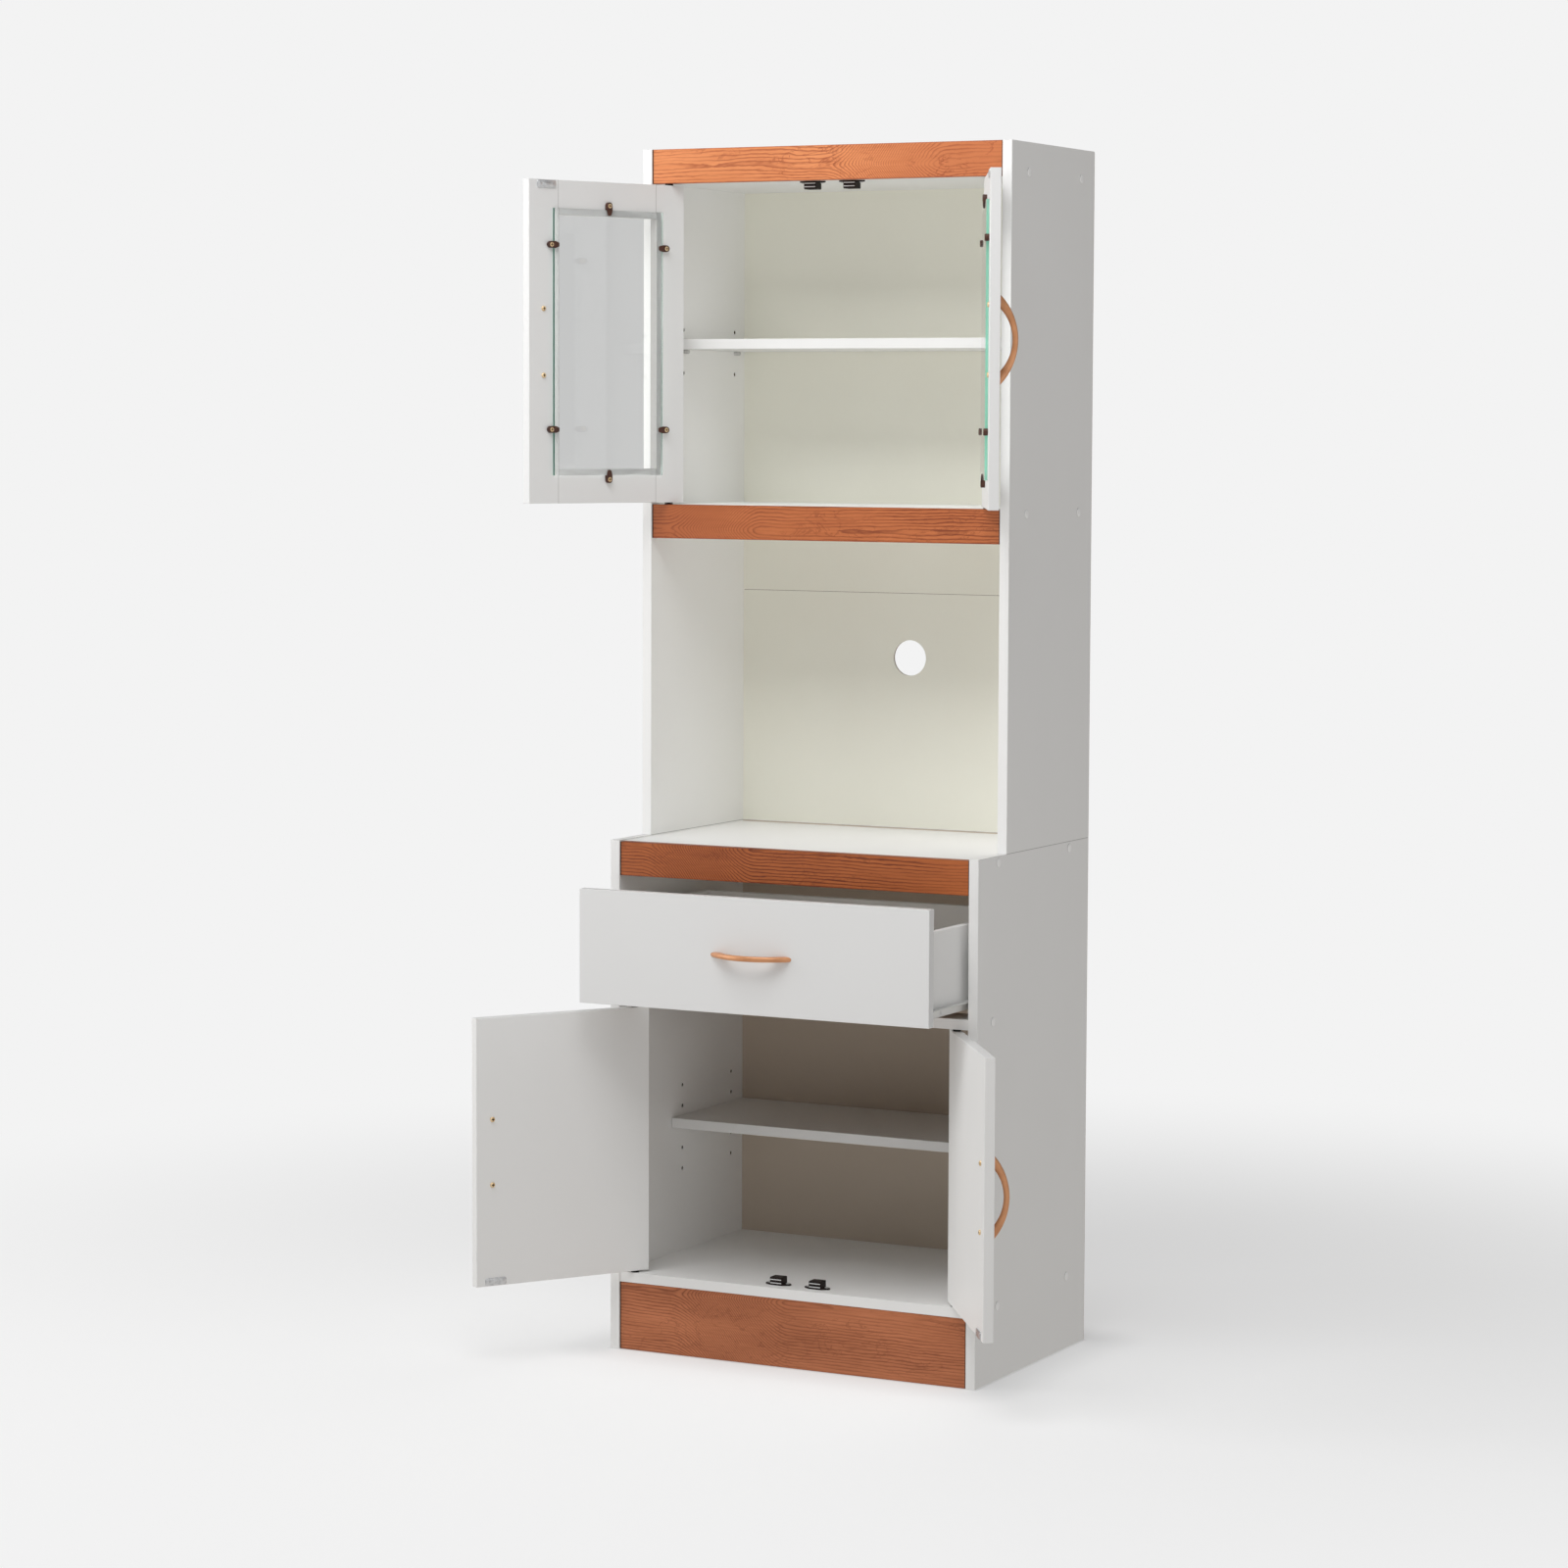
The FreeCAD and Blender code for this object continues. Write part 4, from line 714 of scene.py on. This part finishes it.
def screw_cap(shape, matrix):
    """A cover cap with a domed face and a stem in the screw's recess."""
    shape.turned([
        (1.9, -2.6), (1.9, 0.0), (6.5, 0.0), (6.5, 0.3), (6.3, 0.6), (5.6, 0.85), (3.5, 0.98),
        (0.0, 1.0)], matrix, 40)


def hung(side, angle, across, pivot_back):
    """Matrix from a left door drawn closed to the door as it hangs open.

    side is -1 for the left door and 1 for the right one, which is its mirror image."""
    mirror = Matrix.Scale(-1, 4, X) if side > 0 else Matrix.Identity(4)
    pivot = Vector((side * across, pivot_back, 0))
    turn = Matrix.Rotation(math.radians(side * angle), 4, "Z")
    return Matrix.Translation(pivot) @ turn @ Matrix.Translation(-pivot) @ mirror


def clip_places():
    """Where a pane's turn clips are screwed on, and which way their noses point."""
    middle = (OPENING_LEFT + OPENING_RIGHT) / 2
    half_way = (OPENING_LOW + OPENING_HIGH) / 2
    above, below = half_way + CLIP_ABOVE, half_way - CLIP_BELOW
    out = PANE_LAP + CLIP_OUT
    return [
        (middle, OPENING_HIGH + out, -Z), (middle, OPENING_LOW - out, Z),
        (OPENING_LEFT - out, above, X), (OPENING_LEFT - out, below, X),
        (OPENING_RIGHT + out, above, -X), (OPENING_RIGHT + out, below, -X)]


def dress_door(name, side, angle, glazed):
    """The fine pieces of a door: bow handle, screws, strike plate and, on a glazed door, clips."""
    if glazed:
        face, low, high, across = HUTCH_FACE, UPPER_LOW, UPPER_HIGH, UPPER_PIVOT
        strike_level = UPPER_HIGH - STRIKE_INSET
    else:
        face, low, high, across = BASE_FACE, LOWER_LOW, LOWER_HIGH, LOWER_PIVOT
        strike_level = LOWER_LOW + STRIKE_INSET
    door = hung(side, angle, across, face + BOARD / 2)
    rear = face + BOARD
    handle_at = door @ laid(Vector((FREE_END - HANDLE_INSET, face, (low + high) / 2)), Z, -Y)
    strike_at = door @ laid(Vector((-CATCH_ACROSS, rear, strike_level)), X, Y)

    shape = Shape()
    bow(shape, DOOR_BOW, *BOW, handle_at)
    shape.finish(name + "_bow", [copper], name, "copper_handle", [name + "_handle"], 40)

    shape = Shape()
    for end in (-1, 1):
        shape.coat = 0
        handle_screw(shape, handle_at @ Matrix.Translation((end * HANDLE_SCREW, 0, 0)))
        shape.coat = 2
        strike_screw(shape, strike_at @ Matrix.Translation((end * STRIKE_SCREW, 0, 0)))
    shape.coat = 0
    if glazed:
        for x, z, along in clip_places():
            clip_screw(shape, door @ laid(Vector((x, rear, z)), along, Y))
    shape.finish(
        name + "_screw_set", [brass, painted_recess_shade, strike_steel], name, "brass_screws",
        [name + "_screws"], 35)

    shape = Shape()
    strike_plate(shape, strike_at)
    for end in (-1, 1):
        pressed_rim(shape, strike_at @ Matrix.Translation((end * STRIKE_SCREW, 0, 0)), 2.7, 1.5)
    shape.finish(name + "_strike_plate", [strike_steel], name, "zinc_steel", [name + "_strike"], 35)

    if glazed:
        shape = Shape()
        for x, z, along in clip_places():
            turn_clip(shape, door @ laid(Vector((x, rear, z)), along, Y))
        shape.finish(name + "_turn_clips", [clip_plastic], name, "brown_plastic", [name + "_clips"], 35)
        outward, free = (door.to_3x3() @ Y).normalized(), (door.to_3x3() @ X).normalized()
        pane = boards[name + "_glass"].data.materials
        pane.clear()
        pane.append(pane_glass(name + "_pane", outward, free))


dress_door("upper_left_door", -1, UPPER_LEFT_SWING, True)
dress_door("upper_right_door", 1, UPPER_RIGHT_SWING, True)
dress_door("lower_left_door", -1, LOWER_LEFT_SWING, False)
dress_door("lower_right_door", 1, LOWER_RIGHT_SWING, False)

shape = Shape()
bow(shape, DRAWER_BOW, *BOW, laid(Vector((0, DRAWER_FACE, DRAWER_BOW_LEVEL)), X, -Y))
shape.finish("drawer_bow", [copper], "drawer", "copper_handle", ["drawer_handle"], 40)

housings, plates = Shape(), Shape()
for (level, front), along, outward in ((UPPER_CATCH, -X, -Z), (LOWER_CATCH, X, Z)):
    for side in (-1, 1):
        place = laid(Vector((side * CATCH_ACROSS, front, level)), along, outward)
        catch_housing(housings, place)
        for slot in (3.4, 8.4):
            catch_plate(plates, slot, place)
housings.finish("catch_blocks", [brown_plastic], "cabinet", "brown_plastic", ["catch_housings"], 35)
plates.finish("pole_plates", [pole_steel], "cabinet", "zinc_steel", ["catch_plates"], 35)

caps = Shape()
for side in (-1, 1):
    for y, z in CAPS:
        screw_cap(caps, laid(Vector((side * OUTER_HALF, y, z)), Z, X * side))
caps.finish("cover_caps", [cap_plastic()], "cabinet", "white_plastic", ["screw_caps"], 40)

# frayed brown edges of the two hutch back sheets, which close the joint between them; their dark strip
# also paints the shade in the joint
edges_and_joint_shade = Shape()
lower_sheet, upper_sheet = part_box("hutch_back_lower"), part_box("hutch_back_upper")
joint_low, joint_high = lower_sheet[1].z / MM, upper_sheet[0].z / MM
sheet_front, sheet_rear = lower_sheet[0].y / MM, lower_sheet[1].y / MM
half_sheet, steps, lap = INNER_HALF - 1.5, 120, 0.05
rings = []
for step in range(steps + 1):
    x = -half_sheet + 2 * half_sheet * step / steps
    dip = 0.12 * math.sin(step * 1.9) * math.sin(step * 0.37)
    front, rear = sheet_front + 0.35 + dip, sheet_rear - 0.4 - dip
    rings.append([
        (x, front, joint_low - lap), (x, rear, joint_low - lap),
        (x, rear, joint_high + lap), (x, front, joint_high + lap)])
edges_and_joint_shade.skin(rings)
edges_and_joint_shade.finish("back_sheet_edges_and_joint_shade", [sawn_edge], "cabinet", "white_hardboard")

# ------------------------------------------------------------------ finishes on the CAD pieces
melamine = white_melamine("white_melamine")
frames = {
    "upper_left_door": framed_melamine("dimmed_left_frame_melamine", -1, UPPER_LEFT_SWING),
    "upper_right_door": framed_melamine("dimmed_right_frame_melamine", 1, UPPER_RIGHT_SWING)}
wearing = {
    # painted light and shade: the four strips are one cherry foil, toned lightest on the top strip and
    # darkest on the base strip, which paints part of the fall of the light down the unit
    "top_strip": cherry_foil(
        "top_strip", lighter=(0.75, 0.285, 0.112), middle=(0.67, 0.235, 0.088),
        darker=(0.56, 0.175, 0.062), line=(0.28, 0.052, 0.018), seed=0.0, heart=0.42,
        tips=(0.0, 0.2), depth=0.72, stir=0.85, deeper=(-0.05, 0.28)),
    "middle_strip": cherry_foil(
        "middle_strip", lighter=(0.56, 0.172, 0.058), middle=(0.49, 0.142, 0.045),
        darker=(0.41, 0.112, 0.034), line=(0.19, 0.038, 0.012), seed=2.3, heart=0.3,
        tips=(-0.26, -0.1), depth=1.0, stir=0.35, deeper=(-0.12, -0.25)),
    "base_strip": cherry_foil(
        "base_strip", lighter=(0.53, 0.150, 0.041), middle=(0.445, 0.120, 0.032),
        darker=(0.36, 0.090, 0.024), line=(0.15, 0.030, 0.009), seed=5.2, heart=0.95,
        tips=(-0.25, -0.06), depth=1.0, stir=0.3),
    "plinth": cherry_foil(
        "plinth", lighter=(0.58, 0.200, 0.088), middle=(0.49, 0.162, 0.068),
        darker=(0.40, 0.126, 0.050), line=(0.18, 0.044, 0.016), seed=8.4, heart=0.92,
        tips=(-0.2, 0.0), depth=0.75, stir=0.4),
    # painted shade: the shelves' white is toned darker than the boards'
    "shelves": white_melamine("shelf_melamine", tones=(DIMMED_SHELF_WHITE, DIMMED_SHELF_SHADE)),
    "base_back": lower_back_in_shade, "hutch_back_upper": back_board, "hutch_back_lower": back_board,
    "drawer_bottom": drawer_board, "dowels": dowel_wood, "shelf_pins": zinc_steel,
    "cabinet_screws": zinc_steel, "drawer_screws": zinc_steel, "hinge_bushes": brown_plastic,
    "cabinet_runners": steel_white, "drawer_runners": steel_white,
    "cabinet_rollers": white_plastic, "drawer_rollers": white_plastic}
for name in (
        "base_side_left", "base_side_right", "hutch_side_left", "hutch_side_right",
        "base_top_panel", "drawer_rail", "base_floor", "hutch_top_panel", "middle_panel",
        "drawer_front", "drawer_back"):
    low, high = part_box(name)
    seam = low.z if "hutch_side" in name else high.z if "base_side" in name else None
    # painted shade: the drawer front takes the darker tone of the glazed doors' frames
    tones = (DIMMED_DOOR_WHITE, DIMMED_DOOR_SHADE) if name == "drawer_front" else (WHITE, WHITE_SHADE)
    wearing[name] = white_melamine(name + "_melamine", name, seam, tones)
for name, part in boards.items():
    if part.hide_render or name.endswith("_glass"):
        continue
    finish = brown_plastic if name.endswith("_pivots") else wearing.get(name, melamine)
    if name.endswith(("_stiles", "_rails")):
        finish = frames[name.rsplit("_", 1)[0]]
    part.data.materials.clear()
    part.data.materials.append(finish)

# ------------------------------------------------------------------ floor, light and camera
sweep = bmesh.new()
bmesh.ops.create_grid(sweep, x_segments=24, y_segments=24, size=30.0)
floor_mesh = bpy.data.meshes.new("floor")
sweep.to_mesh(floor_mesh)
sweep.free()
floor = bpy.data.objects.new("floor", floor_mesh)
scene.collection.objects.link(floor)
floor.location.z = -0.0005

paper = Finish("studio_paper", Specular_IOR_Level=0.1)
paper.colour(paper.mixed(paper.clouds(0.4, 2) * 0.3, (0.45, 0.45, 0.45), (0.44, 0.44, 0.44)))
paper.gloss(0.9 + paper.clouds(0.01, 2) * 0.05)
# painted shadow: the distance from the unit's foot, which dims the floor's glow close to it
foot_low, foot_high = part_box("base_side_right")
half_deep, centre = (foot_high.y - foot_low.y) / 2, (foot_high.y + foot_low.y) / 2
aside = (abs(paper.along("X")) - foot_high.x).at_least(0.0)
behind = (abs(paper.along("Y") - centre) - half_deep).at_least(0.0)
away = (aside * aside + behind * behind).root()
shadowed_glow = away.between(-0.02, 0.11) * 0.26 + away.between(0.0, 0.006) * 0.2 + 0.54
paper.glow(paper.mixed(shadowed_glow, (0, 0, 0), (1, 1, 1)), 0.56)
# the camera sees paper that runs out into the backdrop; other rays meet an even pale floor
far = paper.node("ShaderNodeVectorMath", {"operation": "LENGTH"}, {0: paper.spot()}, output="Value")
beyond = paper.node("ShaderNodeEmission", None, {"Color": (BACKDROP,) * 3, "Strength": 1.0})
seen = paper.shared(far.between(0.7, 2.4), paper.coat, beyond)
even = paper.node("ShaderNodeEmission", None, {"Color": (1.0, 0.968, 0.93), "Strength": 0.7})
camera_ray = paper.node("ShaderNodeLightPath", output="Is Camera Ray")
paper.surface(paper.shared(camera_ray, even, seen))
floor_mesh.materials.append(paper.material)

scene.world = bpy.data.worlds.new("studio")
studio = Wiring(scene.world, "ShaderNodeOutputWorld")


def backdrop(strength):
    return studio.node("ShaderNodeBackground", None, {"Color": (1, 1, 1), "Strength": strength})


def chosen(ray, others, named):
    """One backdrop for rays of the kind named, another for all others."""
    return studio.shared(studio.node("ShaderNodeLightPath", output=ray), others, named)


around = chosen("Is Glossy Ray", backdrop(0.04), backdrop(0.30))
around = chosen("Is Transmission Ray", around, backdrop(0.57))
studio.surface(chosen("Is Camera Ray", around, backdrop(BACKDROP)))

AIM = Vector((0, -0.2, 1.2))  # the point that every lamp faces
for name, place, size, watts, colour in (
        ("key_softbox", (0.0, -2.0, 3.4), (2.4, 1.6), 60, (1.0, 1.0, 1.0)),
        ("left_softbox", (-3.4, -1.8, 1.8), (1.6, 2.4), 41, (1.0, 1.0, 1.0)),
        ("high_left_softbox", (-2.6, -2.6, 3.0), (1.6, 1.6), 11, (1.0, 1.0, 1.0)),
        ("low_left_softbox", (-2.6, -2.6, 0.8), (1.4, 1.0), 7, (0.99, 0.99, 1.0)),
        ("right_softbox", (3.6, -1.2, 1.6), (1.6, 2.4), 10, (0.97, 0.98, 1.0)),
        ("low_right_softbox", (2.6, -2.8, 0.7), (1.4, 1.0), 7, (0.97, 0.98, 1.0)),
        ("fill_softbox", (0.3, -1.6, 1.6), (0.5, 1.0), 1.1, (0.99, 0.99, 1.0))):
    softbox = bpy.data.lights.new(name, "AREA")
    softbox.shape = "RECTANGLE"
    softbox.size, softbox.size_y = size
    softbox.energy, softbox.color = watts, colour
    light = bpy.data.objects.new(name, softbox)
    light.location = place
    light.rotation_euler = (AIM - Vector(place)).to_track_quat("-Z", "Y").to_euler()
    light.visible_camera = False
    light.visible_transmission = False
    light.visible_glossy = name != "fill_softbox"
    scene.collection.objects.link(light)

scene.view_settings.view_transform = "Standard"
scene.view_settings.look = "None"
scene.cycles.diffuse_bounces = 8

# the place, turn and lens of the photo's camera; lens and middle are in pixels of the photo
PLACE = (2.85047, -5.80723, 1.37106)
YAW, PITCH, ROLL = math.radians(26.74018), math.radians(-4.58557), math.radians(0.29797)
PHOTO, LENS_PIXELS, MIDDLE = 1600, 4348.24, (882.38, 782.97)
ahead = Vector((-math.sin(YAW) * math.cos(PITCH), math.cos(YAW) * math.cos(PITCH), math.sin(PITCH)))
level = ahead.cross(Z).normalized()
upright = level.cross(ahead)
right = level * math.cos(ROLL) + upright * math.sin(ROLL)
up = upright * math.cos(ROLL) - level * math.sin(ROLL)
view = bpy.data.cameras.new("camera")
view.sensor_width = 36.0
view.lens = view.sensor_width * LENS_PIXELS / PHOTO
view.shift_x = (PHOTO / 2 - MIDDLE[0]) / PHOTO
view.shift_y = (MIDDLE[1] - PHOTO / 2) / PHOTO
view.clip_start, view.clip_end = 0.1, 100.0
camera = bpy.data.objects.new("camera", view)
scene.collection.objects.link(camera)
turn = Matrix((right, up, -ahead)).transposed().to_4x4()
camera.matrix_world = Matrix.Translation(PLACE) @ turn
scene.camera = camera
